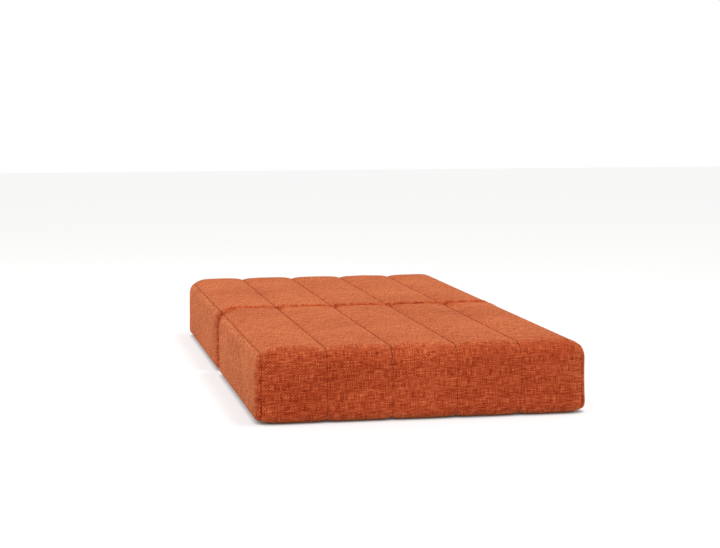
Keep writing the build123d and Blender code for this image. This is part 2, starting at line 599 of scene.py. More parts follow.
UPHOLSTERY = SlubWeave(
    name="slubbed polyester upholstery weave",
    shades=(
        (0.28, "#541608"),
        (0.44, "#872912"),
        (0.54, "#a93c1e"),
        (0.64, "#c85832"),
        (0.76, "#e27e52"),
    ),
    bloom="#ffb97c",
)
FINISHES = {
    Slot.UPHOLSTERY: UPHOLSTERY,
    Slot.BASE_CLOTH: NonWovenCloth(),
    Slot.FOAM: OpenCellFoam("cut polyurethane foam", "#e3d9b4", "#b9ab7e"),
    Slot.COMFORT_FOAM: OpenCellFoam("soft polyurethane foam", "#ece8de", "#c3bcae", 3.2),
    Slot.ZIP_TAPE: HerringboneTape(),
    Slot.ZIP_COIL: SmoothFinish(
        "dyed nylon monofilament", "#8b3a24", "#9c4730", 0.0, 0.35, 1.5, coat=0.2
    ),
    Slot.ZIP_METAL: SmoothFinish(
        "blackened zinc die casting", "#4a4644", "#6a6561", 1.0, 0.38, 2.0
    ),
}


# Mesh helpers


def smooth_step(share: Array) -> Array:
    """Eases from 0 to 1: three times the share squared, less twice its cube."""
    share = np.clip(share, 0, 1)
    return share * share * (3 - 2 * share)


def pressed(depth: Array, softness: float) -> Array:
    """Flattens what would pass below zero: half the depth plus half the root of its square and
    the softness squared."""
    return (depth + np.sqrt(depth**2 + softness**2)) / 2


def graded(low: float, high: float, edge: tuple[float, ...], step: float) -> Array:
    """Places grid lines close together beside both ends and evenly between.

    Args:
        low: Where the lines start.
        high: Where they end.
        edge: Distances of the close lines from an end, rising from zero.
        step: The largest spacing between them.

    Returns:
        The places, rising.
    """
    close = np.array(edge)
    count = max(2, math.ceil((high - low - 2 * close[-1]) / step) + 1)
    even = np.linspace(low + close[-1], high - close[-1], count)
    return np.concatenate([low + close[:-1], even, (high - close[:-1])[::-1]])


def ripple(
    place: Array, seed: list[int], waves: tuple[float, float], count: int = 7
) -> Array:
    """Sums sines of mixed wavelength, each with a phase of its own, scaled to about one.

    Args:
        place: How far along the line each point lies.
        seed: Where the random draw starts.
        waves: The shortest and the longest wavelength.
        count: The number of sines.

    Returns:
        The sum at each place.
    """
    draw = np.random.default_rng(seed)
    lengths = np.geomspace(*waves, count)
    phases = draw.uniform(0, 2 * math.pi, count)
    angles = 2 * math.pi * place[..., None] / lengths + phases
    return np.sin(angles).sum(-1) / math.sqrt(count)


def lumps(
    across: Array, along: Array, seed: list[int], waves: tuple[float, float], count: int = 8
) -> Array:
    """Sums plane waves of mixed length and heading over a surface, scaled to about one.

    Args:
        across: How far across the cloth each point lies.
        along: How far along the cloth each point lies.
        seed: Where the random draw starts.
        waves: The shortest and the longest wavelength.
        count: The number of waves.

    Returns:
        The sum at each point.
    """
    draw = np.random.default_rng(seed)
    lengths = np.geomspace(*waves, count)
    headings, phases = draw.uniform(0, math.pi, count), draw.uniform(0, 2 * math.pi, count)
    travel = across[..., None] * np.cos(headings) + along[..., None] * np.sin(headings)
    return np.sin(2 * math.pi * travel / lengths + phases).sum(-1) / math.sqrt(count)


def cubic_weights(knots: Array, wanted: Array) -> Array:
    """Makes the matrix that carries values at the knots to the wanted places.

    Between two knots the value follows the cubic through them whose slopes are those of the
    chords across each knot.

    Args:
        knots: Places of the known values, rising.
        wanted: Places of the values that are wanted.

    Returns:
        A matrix with a row for each wanted place and a column for each knot.
    """
    count = len(knots)
    cell = np.clip(np.searchsorted(knots, wanted, side="right") - 1, 0, count - 2)
    width = knots[cell + 1] - knots[cell]
    t = np.clip((wanted - knots[cell]) / width, 0, 1)
    rows = np.arange(len(wanted))
    weights = np.zeros((len(wanted), count))
    np.add.at(weights, (rows, cell), 2 * t**3 - 3 * t**2 + 1)
    np.add.at(weights, (rows, cell + 1), 3 * t**2 - 2 * t**3)
    for knot, pull in ((cell, t**3 - 2 * t**2 + t), (cell + 1, t**3 - t**2)):
        before, after = np.maximum(knot - 1, 0), np.minimum(knot + 1, count - 1)
        slope = pull * width / (knots[after] - knots[before])
        np.add.at(weights, (rows, after), slope)
        np.add.at(weights, (rows, before), -slope)
    return weights


def grid_normals(points: Array, lining: Array) -> Array:
    """Finds the unit normals of a grid, on the side away from its lining.

    Args:
        points: The grid, as rows, columns and coordinates.
        lining: Another grid with as many rows, behind the first.

    Returns:
        The normals, in the grid's shape.
    """
    normals = np.cross(np.gradient(points, axis=0), np.gradient(points, axis=1))
    normals /= np.maximum(np.linalg.norm(normals, axis=-1, keepdims=True), 1e-12)
    outward = points.mean((0, 1)) - lining.mean((0, 1))
    return normals * (1.0 if np.sum(normals.mean((0, 1)) * outward) > 0 else -1.0)


def new_mesh_object(
    name: str,
    points: Array,
    faces: list[Array],
    cloth: Array | None = None,
    seam: Array | None = None,
) -> bpy.types.Object:
    """Makes an object from points and faces, turned so that the faces point outwards.

    Args:
        name: The object's name.
        points: The vertices.
        faces: Arrays of faces, one array for each number of corners.
        cloth: Where each vertex lies on its flat cloth.
        seam: How much painted shade each vertex gets, from 0 to 1, along the sewn lines and in
            the mouth of the joint.

    Returns:
        The object, at the origin and smoothly shaded.
    """
    fans = [f[:, [0, k, k + 1]] for f in faces if len(f) for k in range(1, f.shape[1] - 1)]
    corners = points[np.concatenate(fans)]
    volume = np.einsum("ij,ij->i", corners[:, 0], np.cross(corners[:, 1], corners[:, 2])).sum()
    if volume < 0:
        faces = [f[:, ::-1] for f in faces]
    sizes = np.concatenate([np.full(len(f), f.shape[1]) for f in faces if len(f)])
    loops = np.concatenate([f.ravel() for f in faces if len(f)])
    mesh = bpy.data.meshes.new(name)
    mesh.vertices.add(len(points))
    mesh.vertices.foreach_set("co", points.astype(np.float32).ravel())
    mesh.loops.add(len(loops))
    mesh.loops.foreach_set("vertex_index", loops.astype(np.int32))
    mesh.polygons.add(len(sizes))
    starts = np.concatenate([[0], np.cumsum(sizes)[:-1]])
    mesh.polygons.foreach_set("loop_start", starts.astype(np.int32))
    mesh.polygons.foreach_set("use_smooth", np.ones(len(sizes), bool))
    mesh.update(calc_edges=True)
    mesh.validate()
    if cloth is not None:
        attribute = mesh.attributes.new(CLOTH_MAP, "FLOAT_VECTOR", "POINT")
        attribute.data.foreach_set("vector", cloth.astype(np.float32).ravel())
    if seam is not None:
        attribute = mesh.attributes.new(SEAM_SHADE_MAP, "FLOAT", "POINT")
        attribute.data.foreach_set("value", seam.astype(np.float32).ravel())
    thing = bpy.data.objects.new(name, mesh)
    bpy.context.scene.collection.objects.link(thing)
    return thing


def close_grids(rows: int, outer: int, inner: int) -> tuple[Array, Array]:
    """Joins an outer and an inner grid with as many rows to a closed pad.

    The outer grid's points come first, then the inner grid's. Round each row runs a ring: the
    outer columns one way and the inner columns back. At the two end rows, a strip joins each
    outer column to the inner column at the same share of the width.

    Args:
        rows: The number of rows.
        outer: The number of outer columns.
        inner: The number of inner columns, at most as many.

    Returns:
        The faces with four corners and those with three.
    """
    row = np.arange(rows)[:, None]
    ring = np.concatenate(
        [row * outer + np.arange(outer), rows * outer + row * inner + np.arange(inner)[::-1]], 1
    )
    ahead = np.roll(ring, -1, 1)
    walls = np.stack([ring[:-1], ahead[:-1], ahead[1:], ring[1:]], -1).reshape(-1, 4)
    match = np.round(np.arange(outer) * (inner - 1) / (outer - 1)).astype(int)
    column = np.arange(outer - 1)
    quads, tris = [walls], []
    for end, turn in ((0, 1), (rows - 1, -1)):
        front, back = end * outer + column, rows * outer + end * inner + match
        level = match[:-1] == match[1:]
        quad = np.stack([front, back[:-1], back[1:], front + 1], -1)[~level]
        tri = np.stack([front, back[:-1], front + 1], -1)[level]
        quads.append(quad[:, ::turn])
        tris.append(tri[:, ::turn])
    return np.concatenate(quads), np.concatenate(tris)


def tube_walls(count: int, size: int) -> list[Array]:
    """Joins rings of points, one behind the other, to a tube with a face at each end.

    Args:
        count: The number of rings.
        size: The number of points in each.

    Returns:
        The walls with four corners, and the two end faces.
    """
    index = np.arange(count * size).reshape(count, size)
    ahead = np.roll(index, -1, 1)
    walls = np.stack([index[:-1], ahead[:-1], ahead[1:], index[1:]], -1).reshape(-1, 4)
    return [walls, index[:1], index[-1:, ::-1]]


def dress(thing: bpy.types.Object, slot: Slot, body: str, *nodes: str) -> bpy.types.Object:
    """Gives a piece its finish and slot, lets it ride on a body and stand for its CAD nodes.

    Args:
        thing: The finished piece.
        slot: The record's slot that it takes its finish from.
        body: The CAD body that it rides on.
        nodes: The CAD nodes that it stands for.

    Returns:
        The same piece.
    """
    thing.data.materials.append(MATERIALS[slot])
    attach(thing, body)
    if nodes:
        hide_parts(*nodes)
    log.info("%s: %d points, rides on %s", thing.name, len(thing.data.vertices), body)
    return thing


# The outline of a block


@dataclass(frozen=True)
class Outline:
    """A line of straight legs and arcs that turn left, in the plane of reach and height.

    A leg is (length, radius), and its radius is zero where it is straight.
    """

    start: tuple[float, float]
    heading: float
    legs: tuple[tuple[float, float], ...]

    def bends(self) -> tuple[Array, Array, Array, Array, Array]:
        """Works out where each leg starts.

        Returns:
            Lengths so far, start points, start headings, radii and one over the radii.
        """
        lengths, radii = np.array(self.legs).T
        curve = np.divide(1.0, radii, out=np.zeros_like(radii), where=radii > 0)
        headings = self.heading + np.concatenate([[0], np.cumsum(lengths * curve)[:-1]])
        after = headings + lengths * curve
        along = np.stack([np.cos(headings), np.sin(headings)], -1) * lengths[:, None]
        across, up = np.sin(after) - np.sin(headings), np.cos(headings) - np.cos(after)
        turned = np.stack([across, up], -1)
        moves = np.where(radii[:, None] > 0, turned * radii[:, None], along)
        starts = np.array(self.start) + np.concatenate([[[0, 0]], np.cumsum(moves, 0)[:-1]])
        done = np.concatenate([[0], np.cumsum(lengths)[:-1]])
        return done, starts, headings, radii, curve

    @property
    def length(self) -> float:
        """The whole length of the line."""
        return float(sum(leg[0] for leg in self.legs))

    def at(self, distance: Array) -> tuple[Array, Array]:
        """Finds points on the line and the normals on its right side.

        On a straight leg the point moves along the heading, and on an arc it swings round the
        centre, which lies one radius to the left.

        Args:
            distance: How far along the line each point lies.

        Returns:
            The points and the normals, each as reach and height.
        """
        done, starts, headings, radii, curve = self.bends()
        leg = np.clip(np.searchsorted(done, distance, side="right") - 1, 0, len(done) - 1)
        gone = distance - done[leg]
        heading = headings[leg] + gone * curve[leg]
        ahead = np.stack([np.cos(heading), np.sin(heading)], -1)
        swing = np.stack(
            [
                np.sin(heading) - np.sin(headings[leg]),
                np.cos(headings[leg]) - np.cos(heading),
            ],
            -1,
        )
        step = np.where(radii[leg, None] > 0, swing * radii[leg, None], ahead * gone[:, None])
        normal = np.stack([np.sin(heading), -np.cos(heading)], -1)
        return starts[leg] + step, normal


@dataclass(frozen=True)
class BlockShape:
    """The sizes that the pieces of one block share, at the level of its sewn seams."""

    name: str
    way: int  # the sign of Y at its outer end
    seed: int
    crown: float = 9 * MM
    fold_press: float = 4.5 * MM
    seam_lift: float = 3 * MM
    top_round: float = 50 * MM
    outer_foot: float = 42 * MM
    fold_foot: float = 42 * MM
    hem: float = 6 * MM
    side_round: float = 34 * MM
    side_drop: float = 9.96 * MM
    quilt_depth: float = 15 * MM
    press_softness: float = 1.2 * MM
    tuck: float = 11 * MM  # how far the fold draws in the sides at the joint
    tuck_reach: float = 40 * MM
    tuck_from: float = 288 * MM  # the outermost seams on top stay straight
    settle_width: float = 46 * MM  # the lower edges of the sides stand square over this width
    settle_height: float = 70 * MM
    settle_out: float = 1.8 * MM
    settle_down: float = 0.5

    @property
    def body(self) -> str:
        """The CAD body that the block's pieces ride on."""
        return f"{self.name}_block"

    def reaches(self, node: str) -> tuple[float, float]:
        """The least and greatest reach of one of the block's CAD nodes."""
        low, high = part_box(f"{self.name}_{node}")
        return min(self.way * low.y, self.way * high.y), max(self.way * low.y, self.way * high.y)

    @property
    def joint_gap(self) -> float:
        """Half the gap at the joint."""
        return self.reaches("channel_3")[0]

    @property
    def fold_line(self) -> float:
        """The reach of the seams on the face at the joint."""
        return self.joint_gap + self.crown - self.fold_press

    @property
    def outer_line(self) -> float:
        """The reach of the seams on the outer end."""
        return self.reaches("channel_3")[1] - self.crown

    @property
    def fold_side(self) -> float:
        """The place across the bed of the side seams."""
        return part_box(f"{self.name}_channel_5")[1].x

    @property
    def crown_height(self) -> float:
        """The height of the tops of the channels."""
        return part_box(f"{self.name}_channel_3")[1].z

    @property
    def seam_height(self) -> float:
        """The height of the seams on top."""
        return self.crown_height - self.crown

    def channel_route(self) -> Outline:
        """The line of a channel: up the outer end, along the top and down the face at the joint.

        Returns:
            The line, from hem to hem.
        """
        foot, fold, top = self.outer_foot, self.fold_foot, self.top_round
        rise = self.seam_height - self.seam_lift
        run = self.outer_line - self.fold_line - 2 * top
        quarter = math.pi / 2
        legs = (
            (self.hem, 0.0),
            (quarter * foot, foot),
            (rise - foot - top, 0.0),
            (quarter * top, top),
            (run, 0.0),
            (quarter * top, top),
            (rise - top - fold, 0.0),
            (quarter * fold, fold),
            (self.hem, 0.0),
        )
        return Outline((self.outer_line - foot - self.hem, self.seam_lift), 0.0, legs)

    def place(self, across: Array, reach: Array, height: Array) -> Array:
        """Stacks coordinates to points of the bed, on this block's side of the joint."""
        return np.stack(np.broadcast_arrays(across, self.way * reach, height), -1)

    def tucked(self, points: Array) -> Array:
        """Draws the sides in at the joint, by the tuck times the bell curve of the reach.

        Args:
            points: Points of the cover.

        Returns:
            The points, those beyond the outermost seams on top moved inwards.
        """
        across, reach = points[..., 0], self.way * points[..., 1]
        width = self.fold_side - self.tuck_from
        beyond = smooth_step((np.abs(across) - self.tuck_from) / width)
        move = -self.tuck * beyond * np.exp(-((reach / self.tuck_reach) ** 2))
        return np.stack([across + np.sign(across) * move, points[..., 1], points[..., 2]], -1)

    def settled(self, points: Array) -> Array:
        """Squares the lower edges of the sides, which the weight of the foam presses down.

        Near the floor a point moves outwards, and down by a share of its height.

        Args:
            points: Points of the cover.

        Returns:
            The moved points.
        """
        across, height = points[..., 0], points[..., 2]
        beside = smooth_step((np.abs(across) - self.fold_side) / self.settle_width + 1)
        share = beside * (1 - smooth_step(height / self.settle_height))
        across = across + np.sign(across) * self.settle_out * share
        return np.stack([across, points[..., 1], height * (1 - self.settle_down * share)], -1)


# Padded pieces


# How far the grid lines beside a seam lie from it. They crowd where the crease is sharp.
EDGE_LINES = tuple(d * MM for d in (0, 0.7, 1.5, 2.5, 4, 6.2, 9.5, 14, 20))


@dataclass
class Pad:
    """A padded piece of the cover: an outer surface over a lining, sewn down round its edge."""

    block: BlockShape
    name: str
    slot: Slot = Slot.UPHOLSTERY
    fill: float = 0.8
    swell: float = 3.0 * MM  # how far the padding lifts the middle of the cloth
    sim_step: float = 10 * MM
    lump: float = 0.35 * MM
    lump_reach: float = 40 * MM  # how far from a seam the lumps are whole
    lump_waves: tuple[float, float] = (60 * MM, 240 * MM)
    crease_depth: float = 1.8 * MM
    crease_width: float = 1.6 * MM
    pucker: float = 0.28 * MM
    pucker_start: float = 2 * MM
    pucker_reach: float = 8 * MM
    pucker_waves: tuple[float, float] = (9 * MM, 48 * MM)
    painted_joint_share: float = 0.4  # how much shade is painted in the mouth of the joint
    painted_joint_reach: float = 9 * MM
    painted_joint_depth: float = 45 * MM
    painted_joint_rise: float = 1.2
    top_softness: float = 0.4 * MM
    lining_columns: int = 7

    @property
    def node(self) -> str:
        """The CAD node that the piece stands for."""
        return f"{self.block.name}_{self.name}"

    def lines(self, fine: bool) -> tuple[Array, Array]:
        """The grid lines along and across, close beside the seams where fine is true."""
        raise NotImplementedError

    def outer(self, along: Array, across: Array) -> Array:
        """The outer surface before the padding lifts it, and the same lines for cloth places."""
        raise NotImplementedError

    def lining(self, along: Array, across: Array) -> Array:
        """The inner surface."""
        raise NotImplementedError

    def seam_distance(self, along: Array, across: Array, points: Array) -> Array:
        """How far each point of the outer surface lies from the nearest seam."""
        raise NotImplementedError

    def seam_travel(self, along: Array, across: Array, points: Array) -> Array:
        """How far along its nearest seam each point lies."""
        raise NotImplementedError

    def cloth_place(self, along: Array, across: Array, points: Array) -> Array:
        """Where each point lies on the flat cloth, and a number that tells cloths apart."""
        raise NotImplementedError

    def held_back(self, points: Array) -> Array:
        """Presses the points flat against the floor, the other block and the crown's height.

        Args:
            points: Points of the cover.

        Returns:
            The pressed points.
        """
        gap, soft = self.block.joint_gap, self.block.press_softness
        reach = gap + pressed(self.block.way * points[..., 1] - gap, soft)
        height = pressed(points[..., 2], soft)
        spare = pressed(self.block.crown_height - height, self.top_softness)
        return self.block.place(points[..., 0], reach, self.block.crown_height - spare)

    def swollen(self, simulated: Array | None) -> Array:
        """Finds how far the padding lifts each point of the fine grid.

        The simulated lift is scaled so that its largest is the swell. Without a simulation the
        lift is the swell times one less the square of the share from the middle of the width.

        Args:
            simulated: The simulated lift on the coarse grid, or None.

        Returns:
            The lift of each point of the fine grid, along X, Y and Z.
        """
        along, across = self.lines(True)
        if simulated is None:
            points = self.outer(along, across)
            lining = self.lining(along, across[:: len(across) - 1])
            share = (across - across[0]) / (across[-1] - across[0])
            bow = self.swell * (1 - (2 * share - 1) ** 2)
            return grid_normals(points, lining) * bow[None, :, None]
        coarse_along, coarse_across = self.lines(False)
        down, over = cubic_weights(coarse_along, along), cubic_weights(coarse_across, across)
        lift = np.einsum("ia,abk,jb->ijk", down, simulated, over)
        return lift * self.swell / np.percentile(np.linalg.norm(simulated, axis=-1), 99)

    def make(self, simulated: Array | None) -> bpy.types.Object:
        """Builds the finished piece.

        The surface is lifted by its padding, gets soft lumps and puckers beside the seams, and
        is drawn in at each seam by the crease depth times the bell curve of the distance.

        Args:
            simulated: The simulated lift on the coarse grid, or None.

        Returns:
            The finished object.
        """
        along, across = self.lines(True)
        points = self.outer(along, across)
        inner_across = np.linspace(across[0], across[-1], self.lining_columns)
        lining = self.lining(along, inner_across)
        seam = self.seam_distance(along, across, points)
        travel = self.seam_travel(along, across, points)
        cloth = self.cloth_place(along, across, points)
        points = points + self.swollen(simulated)
        normals = grid_normals(points, lining)
        free = smooth_step(seam / self.lump_reach)
        seed = [self.block.seed, sum(map(ord, self.name))]
        rise = self.lump * free * lumps(cloth[..., 0], cloth[..., 1], seed, self.lump_waves)
        beside = np.exp(-seam / self.pucker_reach) * (1 - np.exp(-seam / self.pucker_start))
        rise += self.pucker * beside * ripple(travel, [*seed, 1], self.pucker_waves)
        rise += self.extra_rise(points)
        points = self.held_back(points + normals * rise[..., None])
        points = self.block.settled(self.block.tucked(points))
        drawn = np.exp(-((seam / self.crease_width) ** 2)) * self.seam_strength(along, travel)
        points = points - normals * (self.crease_depth * drawn)[..., None]
        quads, tris = close_grids(len(along), len(across), len(inner_across))
        inner_cloth = self.cloth_place(along, inner_across, lining)
        # Painted shade for the colour: darker along the sewn creases and in the mouth of the
        # joint.
        dark = np.maximum(drawn, self.painted_joint_shade(points)).ravel()
        thing = new_mesh_object(
            f"{self.node}_cover",
            np.concatenate([points.reshape(-1, 3), lining.reshape(-1, 3)]),
            [quads, tris],
            np.concatenate([cloth.reshape(-1, 3), inner_cloth.reshape(-1, 3)]),
            np.concatenate([dark, np.zeros(lining[..., 0].size)]),
        )
        finer = thing.modifiers.new("rounding", "SUBSURF")
        finer.levels = finer.render_levels = 1
        dress(thing, self.slot, self.block.body, self.node)
        return thing

    def painted_joint_shade(self, points: Array) -> Array:
        """How much shade is painted in the mouth of the joint, as a share of a seam's.

        It is a bell curve of the reach, in the upper part of the block.

        Args:
            points: Points of the cover.

        Returns:
            The share at each point.
        """
        inside = (self.block.way * points[..., 1] - self.block.joint_gap) / self.painted_joint_reach
        below = (points[..., 2] - self.block.crown_height) / self.painted_joint_depth
        return self.painted_joint_share * smooth_step(below + self.painted_joint_rise) * np.exp(-(inside**2))

    def extra_rise(self, points: Array) -> Array:
        """Folds and drags of this piece alone, as a height at each point."""
        return np.zeros(points.shape[:2])

    def seam_strength(self, along: Array, travel: Array) -> Array:
        """How tightly each seam is drawn in, as a share of the crease."""
        return np.ones(travel.shape)


@dataclass
class Channel(Pad):
    """One padded channel, carried over the block from hem to hem."""

    left: float = 0.0
    right: float = 0.0
    left_seam: int = 0
    right_seam: int = 0
    shoulder: float = 30 * MM
    edge_shoulder: float = 46 * MM
    shoulder_rise: float = 6 * MM
    end_fullness: float = 0.5
    end_crease: float = 0.12
    foot_fullness: float = 0.75
    foot_crease: float = 0.1
    foot_reach: float = 90 * MM
    uneven: float = 0.15  # how unevenly the seams are drawn in
    uneven_waves: tuple[float, float] = (15 * MM, 90 * MM)
    mouth: float = 8 * MM  # how far the padding closes the mouth of the joint
    mouth_share: float = 0.5
    room: float = 0.7  # the share of the swell that the level leaves room for
    seam_wander: float = 0.35 * MM
    wander_reach: float = 12 * MM
    wander_waves: tuple[float, float] = (70 * MM, 260 * MM)
    foot_place: float = 0.5  # where on the foot's round its fullness starts to fade
    foot_fade: float = 0.9
    seam_start: float = 3.1  # sets the ripples of one seam apart from those of the next
    seam_gap: float = 0.4 * MM
    along_step: float = 8 * MM
    across_step: float = 9 * MM
    route: Outline = field(init=False)

    def __post_init__(self) -> None:
        """Works out the line that the channel follows."""
        self.route = self.block.channel_route()

    def lines(self, fine: bool) -> tuple[Array, Array]:
        """The grid lines along the route, and across from seam to seam.

        Args:
            fine: Whether the grid is the finished one, and not that of the simulation.

        Returns:
            Places along and places across.
        """
        length, width = self.route.length, self.right - self.left
        if fine:
            along = graded(0, length, EDGE_LINES[:6], self.along_step)
            return along, graded(self.left, self.right, EDGE_LINES, self.across_step)
        along = np.linspace(0, length, round(length / self.sim_step) + 1)
        return along, np.linspace(self.left, self.right, round(width / self.sim_step) + 1)

    def fullness(self, along: Array) -> Array:
        """The share of the crown's height.

        It is whole on top and at the joint, less on the outer end, and more at its foot, where
        the padding settles.

        Args:
            along: Places along the route.

        Returns:
            The share at each place.
        """
        lengths = np.cumsum([leg[0] for leg in self.route.legs])
        share = smooth_step((along - lengths[2]) / (lengths[3] - lengths[2]))
        past = along - self.foot_place * lengths[1]
        foot = 1 - smooth_step(past / (self.foot_fade * lengths[1]))
        full = self.end_fullness + (self.foot_fullness - self.end_fullness) * foot
        return full + (1 - full) * share

    def mouth_rise(self, along: Array) -> Array:
        """The bulge of the padding over the mouth of the joint, above the hinge strip.

        It is a parabola over the upper part of the round.

        Args:
            along: Places along the route.

        Returns:
            The rise at each place.
        """
        lengths = np.cumsum([leg[0] for leg in self.route.legs])
        share = (along - lengths[4]) / (lengths[5] - lengths[4]) / self.mouth_share
        share = np.clip(share, 0, 1)
        return self.mouth * 4 * share * (1 - share)

    def level(self, along: Array, across: Array) -> Array:
        """The height over the seams: two shoulders that flatten as the square of the distance,
        and a bow between them. Beside a side seam the cloth rolls down in the same way.

        Args:
            along: Places along the route.
            across: Places across the channel.

        Returns:
            The height at each point of the grid.
        """
        width, middle = self.right - self.left, (self.right + self.left) / 2
        left_over, right_over = self.left_seam == 0, self.right_seam == 5
        left_width = self.edge_shoulder if left_over else self.shoulder
        right_width = self.edge_shoulder if right_over else self.shoulder
        from_left = 1 - np.clip((across - self.left) / left_width, 0, 1)
        from_right = 1 - np.clip((self.right - across) / right_width, 0, 1)
        shoulders = self.shoulder_rise * (1 - from_left**2 - from_right**2)
        bow = 1 - (2 * (across - middle) / width) ** 2
        bow = (self.block.crown - self.shoulder_rise) * bow
        roll = self.block.side_drop * (left_over * from_left**2 + right_over * from_right**2)
        full = self.fullness(along)[:, None]
        before = 1 - self.room * self.swell / self.block.crown
        filled = np.clip((shoulders + bow) / self.block.crown, 0, 1)[None, :] ** 0.5
        mouth = self.mouth_rise(along)[:, None] * filled
        return full * before * (shoulders + bow)[None, :] + mouth - roll[None, :]

    def outer(self, along: Array, across: Array) -> Array:
        """The outer surface: the route, moved along its normal by the level.

        Args:
            along: Places along the route.
            across: Places across the channel.

        Returns:
            The points of the grid.
        """
        spot, normal = self.route.at(along)
        level = self.level(along, across)
        reach = spot[:, :1] + normal[:, :1] * level
        height = spot[:, 1:] + normal[:, 1:] * level
        wander = self.wander(along, across)
        return self.held_back(self.block.place(across[None, :] + wander, reach, height))

    def wander(self, along: Array, across: Array) -> Array:
        """How far the sewn line strays to the side, fading away from each seam.

        Args:
            along: Places along the route.
            across: Places across the channel.

        Returns:
            The move at each point of the grid.
        """
        total = np.zeros((len(along), len(across)))
        for seam, edge in ((self.left_seam, self.left), (self.right_seam, self.right)):
            if 0 < seam < 5:
                seed = [self.block.seed, 50 + seam]
                stray = self.seam_wander * ripple(along, seed, self.wander_waves)
                fading = np.exp(-np.abs(across - edge) / self.wander_reach)
                total += stray[:, None] * fading[None, :]
        return total

    def lining(self, along: Array, across: Array) -> Array:
        """The inner surface, at the depth of the quilting below the seams.

        Args:
            along: Places along the route.
            across: Places across the channel.

        Returns:
            The points of the grid.
        """
        spot, normal = self.route.at(along)
        inner = spot - normal * self.block.quilt_depth
        inset = np.clip(across, self.left + self.seam_gap, self.right - self.seam_gap)
        return self.block.place(inset[None, :], inner[:, :1], inner[:, 1:])

    def seam_distance(self, along: Array, across: Array, points: Array) -> Array:
        """The distance from the nearer seam, or from the hem where that is nearer.

        Args:
            along: Places along the route.
            across: Places across the channel.
            points: The points of the outer surface.

        Returns:
            The distance at each point of the grid.
        """
        beside = np.minimum(across - self.left, self.right - across)[None, :]
        ends = np.minimum(along, self.route.length - along)[:, None]
        return np.minimum(beside, ends)

    def seam_travel(self, along: Array, across: Array, points: Array) -> Array:
        """The distance along the route, with its own start for each of the two seams.

        Args:
            along: Places along the route.
            across: Places across the channel.
            points: The points of the outer surface.

        Returns:
            The distance at each point of the grid.
        """
        nearer_right = (across > (self.left + self.right) / 2)[None, :]
        seam = np.where(nearer_right, self.right_seam, self.left_seam)
        return along[:, None] + self.seam_start * seam

    def cloth_place(self, along: Array, across: Array, points: Array) -> Array:
        """One cloth covers the five channels of a block, so the place across is X."""
        parts = (across[None, :], along[:, None], float(self.block.seed))
        return np.stack(np.broadcast_arrays(*parts), -1)

    def seam_strength(self, along: Array, travel: Array) -> Array:
        """The seams are drawn in hard on top, and hardly at all half way down the outer end.

        Args:
            along: Places along the route.
            travel: How far along its nearest seam each point lies.

        Returns:
            The share of the crease at each point.
        """
        lengths = np.cumsum([leg[0] for leg in self.route.legs])
        share = smooth_step((along - lengths[2]) / (lengths[3] - lengths[2])) ** 2
        low = 1 - smooth_step((along - lengths[0]) / self.foot_reach)
        level = self.end_crease + (1 - self.end_crease) * share + self.foot_crease * low
        uneven = self.uneven * ripple(travel, [self.block.seed, 31], self.uneven_waves)
        return level[:, None] * (1 + uneven)

    def swollen(self, simulated: Array | None) -> Array:
        """The lift of the padding, less on the outer end, where the cloth is drawn tighter."""
        along, _ = self.lines(True)
        return super().swollen(simulated) * self.fullness(along)[:, None, None]


